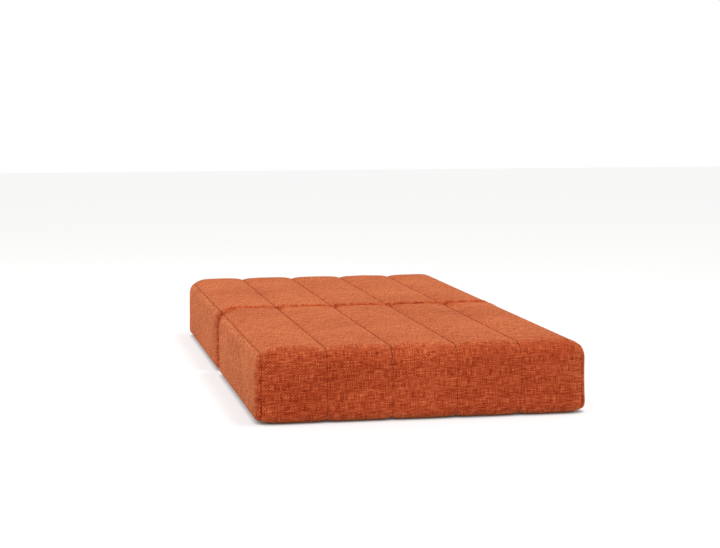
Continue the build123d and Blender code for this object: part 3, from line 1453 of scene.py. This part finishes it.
@dataclass
class SidePanel(Pad):
    """A side panel: a soft edge that rolls in to the side seam, and a slightly domed face."""

    hand: int = 1
    dome: float = 10 * MM
    dome_reach: float = 42 * MM  # how far from the seam the dome has risen
    low_reach: float = 22 * MM  # the same beside the floor, where the foam stands fuller
    low_share: float = 0.55  # the share of the height over which it stands fuller
    drag: float = 1.62 * MM  # the drags fan out from the upper corner at the joint
    drag_start: float = 45 * MM
    drag_reach: float = 130 * MM
    drag_angle: float = 0.35
    drag_spread: float = 0.14
    drag_folds: float = 19.0
    swell: float = 2.0 * MM
    ridge: float = 0.55 * MM
    ridge_place: float = 6.5 * MM
    ridge_width: float = 2.2 * MM
    lining_share: float = 0.4
    edge_stretch: float = 1.3  # how much longer the rolled edge is than its width
    travel_slope: float = 1.7
    cloth_tag: float = 3.0
    step: float = 9 * MM
    face: float = field(init=False)
    rounds: list[float] = field(init=False)
    ends: tuple[float, float] = field(init=False)
    levels: tuple[float, float] = field(init=False)
    outline: Outline = field(init=False)

    def __post_init__(self) -> None:
        """Works out the sewn outline, from the middle of the lower round at the joint."""
        low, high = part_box(self.node)
        self.face = max(abs(low.x), abs(high.x)) - self.dome
        drop = self.block.side_drop
        self.rounds = [
            self.block.fold_foot - drop,
            self.block.outer_foot - drop,
            self.block.top_round - drop,
            self.block.top_round - drop,
        ]
        self.ends = (self.block.fold_line + drop, self.block.outer_line - drop)
        self.levels = (self.block.seam_lift + drop, self.block.seam_height - drop)
        low_fold, low_outer, high_outer, high_fold = self.rounds
        run, rise = self.ends[1] - self.ends[0], self.levels[1] - self.levels[0]
        eighth = math.pi / 4
        spans = (
            (low_fold, run - low_fold - low_outer, low_outer),
            (low_outer, rise - low_outer - high_outer, high_outer),
            (high_outer, run - high_outer - high_fold, high_fold),
            (high_fold, rise - high_fold - low_fold, low_fold),
        )
        legs = [
            leg
            for before, straight, after in spans
            for leg in ((eighth * before, before), (straight, 0.0), (eighth * after, after))
        ]
        start = low_fold * (1 - math.sqrt(0.5))
        self.outline = Outline(
            (self.ends[0] + start, self.levels[0] + start), -eighth, tuple(legs)
        )

    def lines(self, fine: bool) -> tuple[Array, Array]:
        """Shares of the length and of the height.

        Args:
            fine: Whether the grid is the finished one, and not that of the simulation.

        Returns:
            Shares along and shares across.
        """
        run, rise = self.ends[1] - self.ends[0], self.levels[1] - self.levels[0]
        if fine:
            along, across = (graded(0, s, EDGE_LINES, self.step) / s for s in (run, rise))
            return along, across
        along, across = (np.linspace(0, 1, round(s / self.sim_step) + 1) for s in (run, rise))
        return along, across

    def side(self, number: int, share: Array) -> Array:
        """Finds points on one side of the outline, between the middles of two rounds.

        Args:
            number: 0 for the lower side, 1 for the outer end, 2 for the top, 3 for the joint.
            share: How far along that side each point lies.

        Returns:
            Reach and height of each point.
        """
        lengths = np.cumsum([0.0] + [leg[0] for leg in self.outline.legs])[::3]
        start, end = lengths[number], lengths[number + 1]
        return self.outline.at(start + share * (end - start))[0]

    def flat(self, along: Array, across: Array) -> Array:
        """Spreads a grid over the outline as a Coons patch.

        A point is the mix of its two end points on the upper and lower sides, plus the mix of
        those on the two ends, less the mix of the four corners.

        Args:
            along: Shares of the length, from the joint.
            across: Shares of the height, from the floor.

        Returns:
            Reach and height of each point.
        """
        p, q = along[:, None, None], across[None, :, None]
        bottom, top = self.side(0, along)[:, None], self.side(2, 1 - along)[:, None]
        outer, fold = self.side(1, across)[None, :], self.side(3, 1 - across)[None, :]
        corners = (
            (1 - p) * (1 - q) * bottom[:1]
            + p * (1 - q) * bottom[-1:]
            + (1 - p) * q * top[:1]
            + p * q * top[-1:]
        )
        return (1 - q) * bottom + q * top + (1 - p) * fold + p * outer - corners

    def inset(self, spot: Array) -> Array:
        """The distance of flat points inside the sewn outline, by the rounds of its corners.

        Args:
            spot: Reach and height of each point.

        Returns:
            The distance of each point.
        """
        middle = np.array([sum(self.ends), sum(self.levels)]) / 2
        half = np.array([self.ends[1] - self.ends[0], self.levels[1] - self.levels[0]]) / 2
        outwards, upwards = spot[..., 0] > middle[0], spot[..., 1] > middle[1]
        low_fold, low_outer, high_outer, high_fold = self.rounds
        radius = np.where(
            upwards,
            np.where(outwards, high_outer, high_fold),
            np.where(outwards, low_outer, low_fold),
        )
        over = np.abs(spot - middle) - half + radius[..., None]
        beyond = np.linalg.norm(np.maximum(over, 0), axis=-1)
        return radius - beyond - np.minimum(over.max(-1), 0)

    def outer(self, along: Array, across: Array) -> Array:
        """The outer surface: a quarter round from the seam to the face, and a dome that rises as
        one less the square of the share still to go. Both are squarer beside the floor.

        Args:
            along: Shares of the length, from the joint.
            across: Shares of the height, from the floor.

        Returns:
            The points of the grid.
        """
        spot = self.flat(along, across)
        edge, width = self.block.side_round, self.block.side_round - self.block.side_drop
        inset = self.inset(spot)
        rise = self.levels[1] - self.levels[0]
        low = 1 - smooth_step((spot[..., 1] - self.levels[0]) / rise / self.low_share)
        short = np.clip(width - inset, 0, edge)
        roll = (edge - np.sqrt(edge**2 - short**2)) * (short / width) ** (2 * low)
        reach = self.dome_reach + (self.low_reach - self.dome_reach) * low
        domed = 1 - (1 - np.clip(inset / reach, 0, 1)) ** 2
        depth = self.face - roll + (self.dome - self.swell) * domed
        return self.block.place(self.hand * depth, spot[..., 0], spot[..., 1])

    def lining(self, along: Array, across: Array) -> Array:
        """The inner surface, flat behind the seam.

        Args:
            along: Shares of the length, from the joint.
            across: Shares of the height, from the floor.

        Returns:
            The points of the grid.
        """
        spot = self.flat(along, across)
        depth = self.face - self.block.side_round - self.block.quilt_depth * self.lining_share
        return self.block.place(self.hand * depth, spot[..., 0], spot[..., 1])

    def seam_distance(self, along: Array, across: Array, points: Array) -> Array:
        """The distance from the side seam, measured up the rolled edge."""
        return np.maximum(self.inset(self.flat(along, across)), 0) * self.edge_stretch

    def seam_travel(self, along: Array, across: Array, points: Array) -> Array:
        """Reach plus a multiple of the height, which changes along every side of the outline."""
        return np.abs(points[..., 1]) + points[..., 2] * self.travel_slope

    def cloth_place(self, along: Array, across: Array, points: Array) -> Array:
        """The side panel is cut flat, so its cloth follows reach and height."""
        tag = np.full(points.shape[:2], self.block.seed + self.cloth_tag + self.hand)
        return np.stack([points[..., 1], points[..., 2], tag], -1)

    def extra_rise(self, points: Array) -> Array:
        """Drags that fan out from the upper corner at the joint, where the fold pulls the cloth,
        and the ridge of the seam allowance pressed flat under the cloth beside the seam.

        Args:
            points: The points of the outer surface.

        Returns:
            The height at each point.
        """
        reach, height = self.block.way * points[..., 1], points[..., 2]
        out = np.maximum(reach - self.ends[0], 0) + 1e-6
        down = np.maximum(self.levels[1] - height, 0)
        angle, radius = np.arctan2(down, out), np.hypot(out, down)
        window = smooth_step(radius / self.drag_start) * np.exp(-radius / self.drag_reach)
        fan = np.sin(angle * self.drag_folds + self.block.seed)
        fan = fan * np.exp(-((angle - self.drag_angle) ** 2) / self.drag_spread)
        inset = self.inset(np.stack([reach, height], -1))
        ridge = np.exp(-(((inset - self.ridge_place) / self.ridge_width) ** 2))
        return self.drag * window * fan + self.ridge * ridge


@dataclass
class BasePanel(Pad):
    """The base: flat on the floor, rolled up to the side seams, cut back along the zip slot."""

    edge_width: float = 40 * MM
    slot_half: float = 407 * MM
    slot_width: float = 14 * MM
    slot_round: float = 7 * MM
    slot_lines: tuple[float, ...] = tuple(d * MM for d in (-9, -5, -2, 0, 2, 5, 9))
    slot_clear: float = 12 * MM  # other grid lines keep this far from the slot's ends
    swell: float = 0.9 * MM
    floor_gap: float = 0.4 * MM
    travel_slope: float = 1.3
    cloth_tag: float = 9.0
    step: float = 14 * MM
    coarse: float = 1.6  # how much coarser its simulated grid is than the others'
    half_width: float = field(init=False)
    thickness: float = field(init=False)
    ends: tuple[float, float] = field(init=False)

    def __post_init__(self) -> None:
        """Reads the panel's ends from its CAD node."""
        low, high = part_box(self.node)
        self.half_width, self.thickness = high.x, high.z
        self.ends = self.block.reaches(self.name)

    def lines(self, fine: bool) -> tuple[Array, Array]:
        """Shares from the joint to the outer end, and places across.

        Args:
            fine: Whether the grid is the finished one, and not that of the simulation.

        Returns:
            Shares along and places across.
        """
        run, half = self.ends[1] - self.ends[0], self.half_width
        if not fine:
            step = self.coarse * self.sim_step
            along = np.linspace(0, 1, round(run / step))
            return along, np.linspace(-half, half, round(2 * half / step))
        corner = self.slot_half + np.array(self.slot_lines)
        across = graded(-half, half, EDGE_LINES, self.step)
        across = across[np.abs(np.abs(across) - self.slot_half) > self.slot_clear]
        across = np.sort(np.concatenate([across, corner, -corner]))
        return graded(0, run, EDGE_LINES, self.step) / run, across

    def flat(self, along: Array, across: Array) -> tuple[Array, Array]:
        """Spreads the grid. The outer edge steps back along the slot.

        Args:
            along: Shares from the joint to the outer end.
            across: Places across.

        Returns:
            The reach and the place across of each point.
        """
        inside = self.slot_half + self.slot_round / 2 - np.abs(across)
        far = self.ends[1] - self.slot_width * smooth_step(inside / self.slot_round)
        reach = self.ends[0] + along[:, None] * (far - self.ends[0])[None, :]
        return reach, np.broadcast_to(across[None, :], reach.shape)

    def outer(self, along: Array, across: Array) -> Array:
        """The lower surface: flat, and beside the side seams an arc that starts level.

        Args:
            along: Shares from the joint to the outer end.
            across: Places across.

        Returns:
            The points of the grid.
        """
        reach, x = self.flat(along, across)
        lift = self.block.seam_lift + self.block.side_drop
        radius = (self.edge_width**2 + lift**2) / (2 * lift)
        over = np.maximum(np.abs(x) - (self.half_width - self.edge_width), 0)
        height = radius - np.sqrt(radius**2 - over**2) + self.swell + self.floor_gap
        return self.block.place(x, reach, height)

    def lining(self, along: Array, across: Array) -> Array:
        """The upper surface, flat under the foam."""
        reach, x = self.flat(along, across)
        return self.block.place(x, reach, np.full(reach.shape, self.thickness))

    def seam_distance(self, along: Array, across: Array, points: Array) -> Array:
        """The distance from the nearest of the four edges.

        Args:
            along: Shares from the joint to the outer end.
            across: Places across.
            points: The points of the outer surface.

        Returns:
            The distance at each point of the grid.
        """
        reach, x = self.flat(along, across)
        ends = np.minimum(reach - reach[:1], reach[-1:] - reach)
        return np.minimum(ends, self.half_width - np.abs(x))

    def seam_travel(self, along: Array, across: Array, points: Array) -> Array:
        """X plus a multiple of Y, which grows along every edge."""
        return points[..., 0] + self.travel_slope * points[..., 1]

    def cloth_place(self, along: Array, across: Array, points: Array) -> Array:
        """The base is cut flat, so its cloth follows X and Y."""
        tag = np.full(points.shape[:2], self.block.seed + self.cloth_tag)
        return np.stack([points[..., 0], points[..., 1], tag], -1)


# The cloth simulation that fills the padded pieces


@dataclass(frozen=True)
class Filling:
    """Blows each piece up against its seams, as padding does, and reads how far it went."""

    pressure: float = 4.0
    frames: int = 20
    cap: float = 12 * MM

    def stretch(self, pad: Pad) -> bpy.types.Object:
        """Makes the closed cloth of a piece on its coarse grid, pinned at seams and lining.

        Args:
            pad: The padded piece.

        Returns:
            An object with a Cloth modifier.
        """
        along, across = pad.lines(False)
        points = pad.outer(along, across)
        lining = pad.lining(along, across)
        quads, tris = close_grids(len(along), len(across), len(across))
        everything = np.concatenate([points.reshape(-1, 3), lining.reshape(-1, 3)])
        thing = new_mesh_object(f"filling_{pad.node}", everything, [quads, tris])
        free = np.zeros((len(along), len(across)), bool)
        free[1:-1, 1:-1] = True
        held = np.flatnonzero(~np.concatenate([free.ravel(), np.zeros(free.size, bool)]))
        thing.vertex_groups.new(name="sewn").add(held.tolist(), 1.0, "REPLACE")
        cloth = thing.modifiers.new("filling", "CLOTH")
        cloth.settings.quality = 5
        cloth.settings.mass = 0.3
        cloth.settings.tension_stiffness = 15
        cloth.settings.compression_stiffness = 15
        cloth.settings.shear_stiffness = 5
        cloth.settings.bending_stiffness = 0.5
        cloth.settings.use_pressure = True
        cloth.settings.uniform_pressure_force = self.pressure
        cloth.settings.effector_weights.gravity = 0
        cloth.settings.vertex_group_mass = "sewn"
        cloth.collision_settings.use_collision = False
        cloth.point_cache.frame_start = 1
        cloth.point_cache.frame_end = self.frames
        return thing

    def run(self, pads: list[Pad]) -> list[Array]:
        """Simulates all pieces side by side.

        Args:
            pads: The padded pieces.

        Returns:
            For each piece, how far each point of its coarse outer grid moved, at most the cap.
        """
        things = [self.stretch(pad) for pad in pads]
        scene = bpy.context.scene
        for number in range(1, self.frames + 1):
            scene.frame_set(number)
        graph = bpy.context.evaluated_depsgraph_get()
        lifts = []
        for pad, thing in zip(pads, things):
            count = len(thing.data.vertices)
            start, end = np.empty(count * 3), np.empty(count * 3)
            thing.data.vertices.foreach_get("co", start)
            thing.evaluated_get(graph).data.vertices.foreach_get("co", end)
            along, across = pad.lines(False)
            move = (end - start).reshape(-1, 3)[: len(along) * len(across)]
            size = np.linalg.norm(move, axis=1, keepdims=True)
            move = move * self.cap * np.tanh(size / self.cap) / np.maximum(size, 1e-9)
            log.info("%s: the filling moved it by up to %.1f mm", pad.node, size.max() / MM)
            lifts.append(move.reshape(len(along), len(across), 3))
            bpy.data.objects.remove(thing)
        scene.frame_set(1)
        return lifts


# The foam inside


@dataclass(frozen=True)
class FoamLayer:
    """A slab of foam: the block's outline, carried across the bed, with its edges eased."""

    block: BlockShape
    name: str
    slot: Slot
    inset: float = 15.8 * MM
    ease: float = 3 * MM
    seam_gap: float = 1.2 * MM
    clearance: float = 0.3 * MM
    edge_points: int = 5
    loop_points: int = 260

    def make(self) -> bpy.types.Object:
        """Builds the slab as rings of the outline, smaller at the two faces, and two end faces.

        Returns:
            The finished object.
        """
        name = f"{self.block.name}_{self.name}"
        low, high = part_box(name)
        loop = self.loop(low.z + self.clearance, high.z - self.clearance)
        turn = np.linspace(0, math.pi / 2, self.edge_points)
        drawn_in, along = self.ease * (1 - np.sin(turn)), self.ease * (1 - np.cos(turn))
        half = high.x - self.seam_gap
        places = np.concatenate([-half + along, (half - along)[::-1]])
        shrink = np.concatenate([drawn_in, drawn_in[::-1]])
        middle = (loop.max(0) + loop.min(0)) / 2
        size = (loop.max(0) - loop.min(0)) / 2
        rings = middle + (loop - middle)[None] * (1 - shrink[:, None, None] / size)
        points = self.block.place(places[:, None], rings[..., 0], rings[..., 1])
        walls = tube_walls(*points.shape[:2])
        thing = new_mesh_object(f"{name}_foam", points.reshape(-1, 3), walls)
        dress(thing, self.slot, self.block.body, name)
        return thing

    def loop(self, bottom: float, top: float) -> Array:
        """The outline of the block, drawn in by the inset and cut between two heights.

        Args:
            bottom: The lowest height of this layer.
            top: The highest.

        Returns:
            Points as reach and height, anticlockwise.
        """
        block = self.block
        rounds = [r - self.inset for r in (block.fold_foot, block.outer_foot, block.top_round)]
        low_fold, low_outer, high = rounds
        near, far = block.fold_line + self.inset, block.outer_line - self.inset
        base, crest = block.seam_lift + self.inset, block.seam_height - self.inset
        quarter = math.pi / 2
        legs = (
            (far - near - low_fold - low_outer, 0.0),
            (quarter * low_outer, low_outer),
            (crest - base - low_outer - high, 0.0),
            (quarter * high, high),
            (far - near - 2 * high, 0.0),
            (quarter * high, high),
            (crest - base - high - low_fold, 0.0),
            (quarter * low_fold, low_fold),
        )
        line = Outline((near + low_fold, base), 0.0, legs)
        points = line.at(np.linspace(0, line.length, self.loop_points, endpoint=False))[0]
        points[:, 1] = np.clip(points[:, 1], bottom, top)
        return points


# The hinge strip


@dataclass(frozen=True)
class HingeStrip:
    """The strip of cover cloth that lies in the groove between the blocks and joins them.

    Each half lies on the round of its own block, and the middle spans the groove. The middle has
    no points of its own, so it is drawn straight across, as the slack strip is. Towards its ends
    the strip sinks with the rolled corners of the blocks.
    """

    block: BlockShape
    gap: float = 0.3 * MM
    thickness: float = 1.2 * MM
    climb: float = math.radians(40)
    middle: float = 0.15 * MM
    end_reach: float = 46 * MM
    end_drop: float = 12 * MM
    end_gap: float = 3 * MM
    skin: float = 0.05 * MM  # how far it keeps inside the box of its CAD node
    arc_points: int = 14
    rings: int = 120
    slack: float = 1.4  # the length of the cloth over its reach
    cloth_tag: float = 30.0

    def make(self) -> bpy.types.Object:
        """Builds the strip as a closed loop of section points, carried along X.

        The section of one half is two arcs about the centre of the top round, and the other
        half is its mirror image. At the ends the arcs get smaller, by the end drop times the
        square of the share.

        Returns:
            The finished object.
        """
        block = self.block
        low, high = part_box("hinge_strip")
        top = block.top_round
        centre = np.array([block.fold_line + top, block.seam_height - top])
        inner = top + block.crown + self.gap
        radii = (inner + self.thickness - self.skin, inner + self.skin)
        trough = math.sqrt(radii[0] ** 2 - (centre[0] - self.middle) ** 2)
        floor = low.z - centre[1] + self.skin
        halves = []
        for radius, depth in zip(radii, (trough, floor)):
            angles = np.linspace(math.asin(depth / radius), self.climb, self.arc_points)
            halves.append(centre + radius * np.stack([-np.cos(angles), np.sin(angles)], -1))
        halves[1][0] = (self.middle, low.z + self.skin)
        right = np.concatenate([halves[0][::-1], halves[1]])
        loop = np.concatenate([right, right[::-1] * (-1, 1)])
        places = np.linspace(low.x + self.end_gap, high.x - self.end_gap, self.rings)
        share = np.clip(1 - (high.x - np.abs(places)) / self.end_reach, 0, 1)
        rays = loop - np.where(loop[:, :1] > 0, centre, centre * (-1, 1))
        rays /= np.linalg.norm(rays, axis=1, keepdims=True)
        section = loop - rays * (self.end_drop * share**2)[:, None, None]
        across = np.broadcast_to(places[:, None, None], (*section.shape[:2], 1))
        points = block.tucked(np.concatenate([across, section], -1))
        flat = (places[:, None], loop[None, :, 0] * self.slack, self.cloth_tag)
        cloth = np.stack(np.broadcast_arrays(*flat), -1).reshape(-1, 3)
        walls = tube_walls(*points.shape[:2])
        thing = new_mesh_object("hinge_strip_cloth", points.reshape(-1, 3), walls, cloth)
        thing.data.materials.append(MATERIALS[Slot.UPHOLSTERY])
        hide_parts("hinge_strip")
        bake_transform(thing)
        log.info("hinge_strip_cloth: bends between rear_block and front_block")
        return thing


# The zips


@dataclass(frozen=True)
class Zip:
    """The zip under a block's outer end.

    Tapes and coil are made here. The slider and the stops keep their CAD shapes.
    """

    block: BlockShape
    neck: float = 1.0 * MM  # half the gap between the tapes
    tape_thickness: float = 0.7 * MM
    tape_lift: float = 0.15 * MM
    wave: float = 0.12 * MM
    waves: tuple[float, float] = (18 * MM, 90 * MM)
    rows: int = 220
    columns: int = 6
    pitch: float = 1.9 * MM
    wire: float = 0.38 * MM
    reach: float = 0.62  # the share of half the coil's width that a turn takes up
    coil_drop: float = 1.6 * MM  # how far the turns' crests lie below the tapes
    cord_overlap: float = 0.5 * MM
    cord_half: float = 0.9 * MM
    tooth_round: int = 10
    wire_round: int = 5

    def make(self) -> None:
        """Builds the tapes and the coil, and gives the slider and the stops their metal."""
        self.tapes()
        self.coil()
        for part in ("zip_slider", "zip_stops"):
            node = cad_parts[f"{self.block.name}_{part}"]
            node.data.materials.clear()
            node.data.materials.append(MATERIALS[Slot.ZIP_METAL])

    def tapes(self) -> bpy.types.Object:
        """Builds the two tapes: thin strips whose faces ripple by a fraction of a millimetre.

        Returns:
            The finished object.
        """
        low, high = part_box(f"{self.block.name}_zip_tapes")
        middle = (low.y + high.y) / 2
        places = np.linspace(low.x, high.x, self.rows)
        hump = np.sin(np.linspace(0, math.pi, self.columns))
        quads, _ = close_grids(self.rows, self.columns, self.columns)
        points, faces = [], []
        edges = ((low.y, middle - self.neck), (middle + self.neck, high.y))
        for number, (start, end) in enumerate(edges):
            across = np.linspace(start, end, self.columns)
            wave = self.wave * ripple(places, [self.block.seed, number, 8], self.waves)
            height = low.z + self.tape_lift + wave[:, None] * hump[None, :]
            lower = np.stack(np.broadcast_arrays(places[:, None], across, height), -1)
            upper = lower + np.array([0, 0, self.tape_thickness])
            faces.append(quads + number * 2 * self.rows * self.columns)
            points += [lower.reshape(-1, 3), upper.reshape(-1, 3)]
        name = f"{self.block.name}_zip_tapes"
        thing = new_mesh_object(f"{name}_cloth", np.concatenate(points), [np.concatenate(faces)])
        return dress(thing, Slot.ZIP_TAPE, self.block.body, name)

    def coil(self) -> bpy.types.Object:
        """Builds the two rows of coil turns, set between each other, on the cord they close over.

        One turn is a closed ring of monofilament seen from the side: a tube of tooth_round sides
        whose middle line is a flat loop across the zip.

        Returns:
            The finished object.
        """
        name = f"{self.block.name}_zip_coil"
        low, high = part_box(name)
        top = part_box(f"{self.block.name}_zip_tapes")[0].z
        middle_y = (low.y + high.y) / 2
        crest = top - self.coil_drop
        turn = np.linspace(0, 2 * math.pi, self.tooth_round, endpoint=False)
        ring = np.linspace(0, 2 * math.pi, self.wire_round, endpoint=False)[None, :, None]
        width = (high.y - low.y) / 2 - self.wire
        reach = width * self.reach
        inward = np.stack([np.zeros_like(turn), np.cos(turn), np.sin(turn)], -1)
        path = inward * (0, reach, (crest - low.z) / 2 - self.wire)
        round_it = np.cos(ring) * inward[:, None] + np.sin(ring) * np.array([1.0, 0, 0])
        tube = path[:, None] + self.wire * round_it
        count = int((high.x - low.x - 2 * self.wire) / self.pitch)
        places = (np.arange(count) - (count - 1) / 2) * self.pitch
        turns = []
        for side in (-1, 1):
            centre = np.stack(
                [
                    places + side * self.pitch / 4,
                    np.full(count, middle_y + side * (width - reach)),
                    np.full(count, (crest + low.z) / 2),
                ],
                -1,
            )
            turns.append(centre[:, None, None] + tube[None])
        points = np.concatenate(turns).reshape(-1, 3)
        size = self.tooth_round * self.wire_round
        index = np.arange(size).reshape(self.tooth_round, self.wire_round)
        ahead, up = np.roll(index, -1, 0), np.roll(index, -1, 1)
        both = np.roll(ahead, -1, 1)
        one = np.stack([index, ahead, both, up], -1).reshape(-1, 4)
        faces = (np.arange(2 * count)[:, None, None] * size + one[None]).reshape(-1, 4)
        bottom, cord_top = crest - self.cord_overlap, top + self.cord_overlap
        cord = self.cord(low.x, high.x, middle_y, bottom, cord_top)
        faces = np.concatenate([faces, cord[1] + len(points)])
        points = np.concatenate([points, cord[0]])
        thing = new_mesh_object(f"{name}_turns", points, [faces])
        return dress(thing, Slot.ZIP_COIL, self.block.body, name)

    def cord(
        self, start: float, end: float, y: float, bottom: float, top: float
    ) -> tuple[Array, Array]:
        """The core that the turns hold: a bar of six sides along X, closed at both ends.

        Args:
            start: The lowest X.
            end: The highest X.
            y: The Y of its middle.
            bottom: Its lowest height.
            top: Its highest height.

        Returns:
            Its points and faces.
        """
        angle = np.arange(6) * math.pi / 3
        half = (top - bottom) / 2
        across, up = self.cord_half * np.cos(angle), half * np.sin(angle)
        section = np.stack([np.zeros(6), across, up], -1)
        centre = np.array([0, y, (top + bottom) / 2])
        ends = [section + centre + (start, 0, 0), section + centre + (end, 0, 0)]
        near = np.arange(6)
        nearer = np.roll(near, -1)
        walls = np.stack([near, nearer, nearer + 6, near + 6], -1)
        caps = np.array([[0, 5, 4, 3], [0, 3, 2, 1], [6, 7, 8, 9], [6, 9, 10, 11]])
        return np.concatenate(ends), np.concatenate([walls, caps])


# The stage


@dataclass(frozen=True)
class Studio:
    """A pale floor, soft light and the camera of the photograph."""

    camera_place: tuple[float, float, float] = (-1.159, -5.719, 0.958)
    camera_turn: float = 11.43
    camera_tilt: float = 6.19
    lens: float = 86.1
    sensor: float = 36.0
    sky: float = 0.79
    sky_colour: tuple[float, ...] = (1, 0.985, 0.97, 1)
    key_power: float = 62
    fill_power: float = 26
    floor_half: float = 14.0
    floor_light: float = 0.92  # what the floor throws back on to the bed
    floor_shadow: float = 0.4  # what it shows of the lamps and the shadow
    floor_glow: float = 0.62
    # how far from the bed the painted contact shadow on the floor reaches
    contact_reach: float = 0.016

    def make(self) -> None:
        """Builds the floor, the sky, the lamps and the camera."""
        self.floor()
        self.world()
        self.lamp("key", (0.85, -0.75, 4.1), (0.0, 0.0, 0.1), 0.9, self.key_power)
        self.lamp("side fill", (-2.6, 1.6, 2.6), (0.0, 0.0, 0.1), 2.4, self.fill_power)
        self.camera()

    def floor(self) -> None:
        """Lays a white floor that takes the shadow, and shows near white to the camera, its glow
        darkened next to the bed as a painted contact shadow.
        """
        material, tree, output = new_material("white painted floor")
        diffuse = add_node(tree, "BsdfDiffuse", None, {0: (*[self.floor_light] * 3, 1)})
        paint = add_node(tree, "BsdfDiffuse", None, {0: (*[self.floor_shadow] * 3, 1)})
        # The glow is darkened by ambient occlusion next to the bed: a painted contact shadow on
        # the floor.
        painted_contact_shadow = add_node(
            tree,
            "AmbientOcclusion",
            {"samples": 8},
            {"Distance": self.contact_reach, "Color": (1, 1, 1, 1)},
        )
        glow = add_node(tree, "Emission", None, {0: painted_contact_shadow.outputs[0], 1: self.floor_glow})
        lit = add_node(tree, "AddShader", None, {0: paint.outputs[0], 1: glow.outputs[0]})
        chosen = add_node(
            tree,
            "MixShader",
            None,
            {0: self.seen_ray(tree), 1: diffuse.outputs[0], 2: lit.outputs[0]},
        )
        tree.links.new(chosen.outputs[0], output.inputs[0])
        half = self.floor_half
        corners = [(-half, -half, 0), (half, -half, 0), (half, half, 0), (-half, half, 0)]
        mesh = bpy.data.meshes.new("studio_floor")
        mesh.from_pydata(corners, [], [(0, 1, 2, 3)])
        thing = bpy.data.objects.new("studio_floor", mesh)
        thing.data.materials.append(material)
        bpy.context.scene.collection.objects.link(thing)

    def seen_ray(self, tree: bpy.types.NodeTree) -> bpy.types.NodeSocket:
        """Is one for rays from the camera, and for those that gloss or glass sends on.

        Args:
            tree: The node tree.

        Returns:
            The socket with that number.
        """
        path = add_node(tree, "LightPath").outputs
        either = add_math(tree, "MAXIMUM", path["Is Camera Ray"], path["Is Glossy Ray"])
        return add_math(tree, "MAXIMUM", either, path["Is Transmission Ray"])

    def world(self) -> None:
        """Makes a white backdrop, and a soft sky that lights the bed evenly."""
        world = bpy.data.worlds.new("studio")
        world.use_nodes = True
        tree = world.node_tree
        tree.nodes.clear()
        sky = add_node(tree, "Background", None, {0: self.sky_colour, 1: self.sky})
        white = add_node(tree, "Background", None, {0: (1, 1, 1, 1), 1: 1.0})
        chosen = add_node(
            tree,
            "MixShader",
            None,
            {0: self.seen_ray(tree), 1: sky.outputs[0], 2: white.outputs[0]},
        )
        output = add_node(tree, "OutputWorld")
        tree.links.new(chosen.outputs[0], output.inputs[0])
        bpy.context.scene.world = world

    def lamp(
        self,
        name: str,
        place: tuple[float, float, float],
        target: tuple[float, float, float],
        size: float,
        power: float,
    ) -> None:
        """Hangs a square area lamp that faces its target.

        Args:
            name: The lamp's name.
            place: Where it hangs.
            target: What it faces.
            size: The length of its sides.
            power: Its power in watts.
        """
        light = bpy.data.lights.new(name, "AREA")
        light.shape = "SQUARE"
        light.size, light.energy = size, power
        thing = bpy.data.objects.new(name, light)
        aim = Vector(target) - Vector(place)
        thing.location = place
        thing.rotation_euler = aim.to_track_quat("-Z", "Y").to_euler()
        bpy.context.scene.collection.objects.link(thing)

    def camera(self) -> None:
        """Stands the camera where the photograph's lines of sight meet."""
        camera = bpy.data.cameras.new("photograph")
        camera.lens, camera.sensor_width = self.lens, self.sensor
        thing = bpy.data.objects.new("photograph", camera)
        thing.location = self.camera_place
        tilt, turn = math.radians(90 - self.camera_tilt), math.radians(-self.camera_turn)
        thing.rotation_euler = (tilt, 0.0, turn)
        bpy.context.scene.collection.objects.link(thing)
        bpy.context.scene.camera = thing


@dataclass
class Block:
    """One block of the bed with all that is sewn to it or lies in it."""

    shape: BlockShape
    base_slot: Slot
    pads: list[Pad] = field(default_factory=list)

    def __post_init__(self) -> None:
        """Lists the padded pieces of the cover."""
        for number in range(1, 6):
            low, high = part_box(f"{self.shape.name}_channel_{number}")
            self.pads.append(
                Channel(
                    self.shape,
                    f"channel_{number}",
                    left=low.x,
                    right=high.x,
                    left_seam=number - 1,
                    right_seam=number,
                )
            )
        for hand, side in ((-1, "left"), (1, "right")):
            self.pads.append(SidePanel(self.shape, f"{side}_side_panel", hand=hand))
        self.pads.append(BasePanel(self.shape, "base_panel", slot=self.base_slot, fill=0.4))

    def make_inside(self) -> None:
        """Builds the foam and the zip."""
        FoamLayer(self.shape, "foam_core", Slot.FOAM).make()
        FoamLayer(self.shape, "comfort_layer", Slot.COMFORT_FOAM).make()
        Zip(self.shape).make()


def main() -> None:
    """Builds the pieces in order."""
    logging.basicConfig(level=logging.INFO, format="%(name)s %(message)s")
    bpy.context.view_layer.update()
    MATERIALS.update({slot: finish.material() for slot, finish in FINISHES.items()})
    blocks = [
        Block(BlockShape("front", -1, 11), Slot.UPHOLSTERY),
        Block(BlockShape("rear", 1, 23), Slot.BASE_CLOTH),
    ]
    pads = [pad for block in blocks for pad in block.pads]
    lifts = Filling().run(pads)
    for pad, lift in zip(pads, lifts):
        pad.make(lift)
    for block in blocks:
        block.make_inside()
    HingeStrip(blocks[1].shape).make()
    Studio().make()
    bpy.context.scene.view_settings.view_transform = "Standard"


MATERIALS: dict[Slot, bpy.types.Material] = {}

if __name__ == "__main__":
    main()
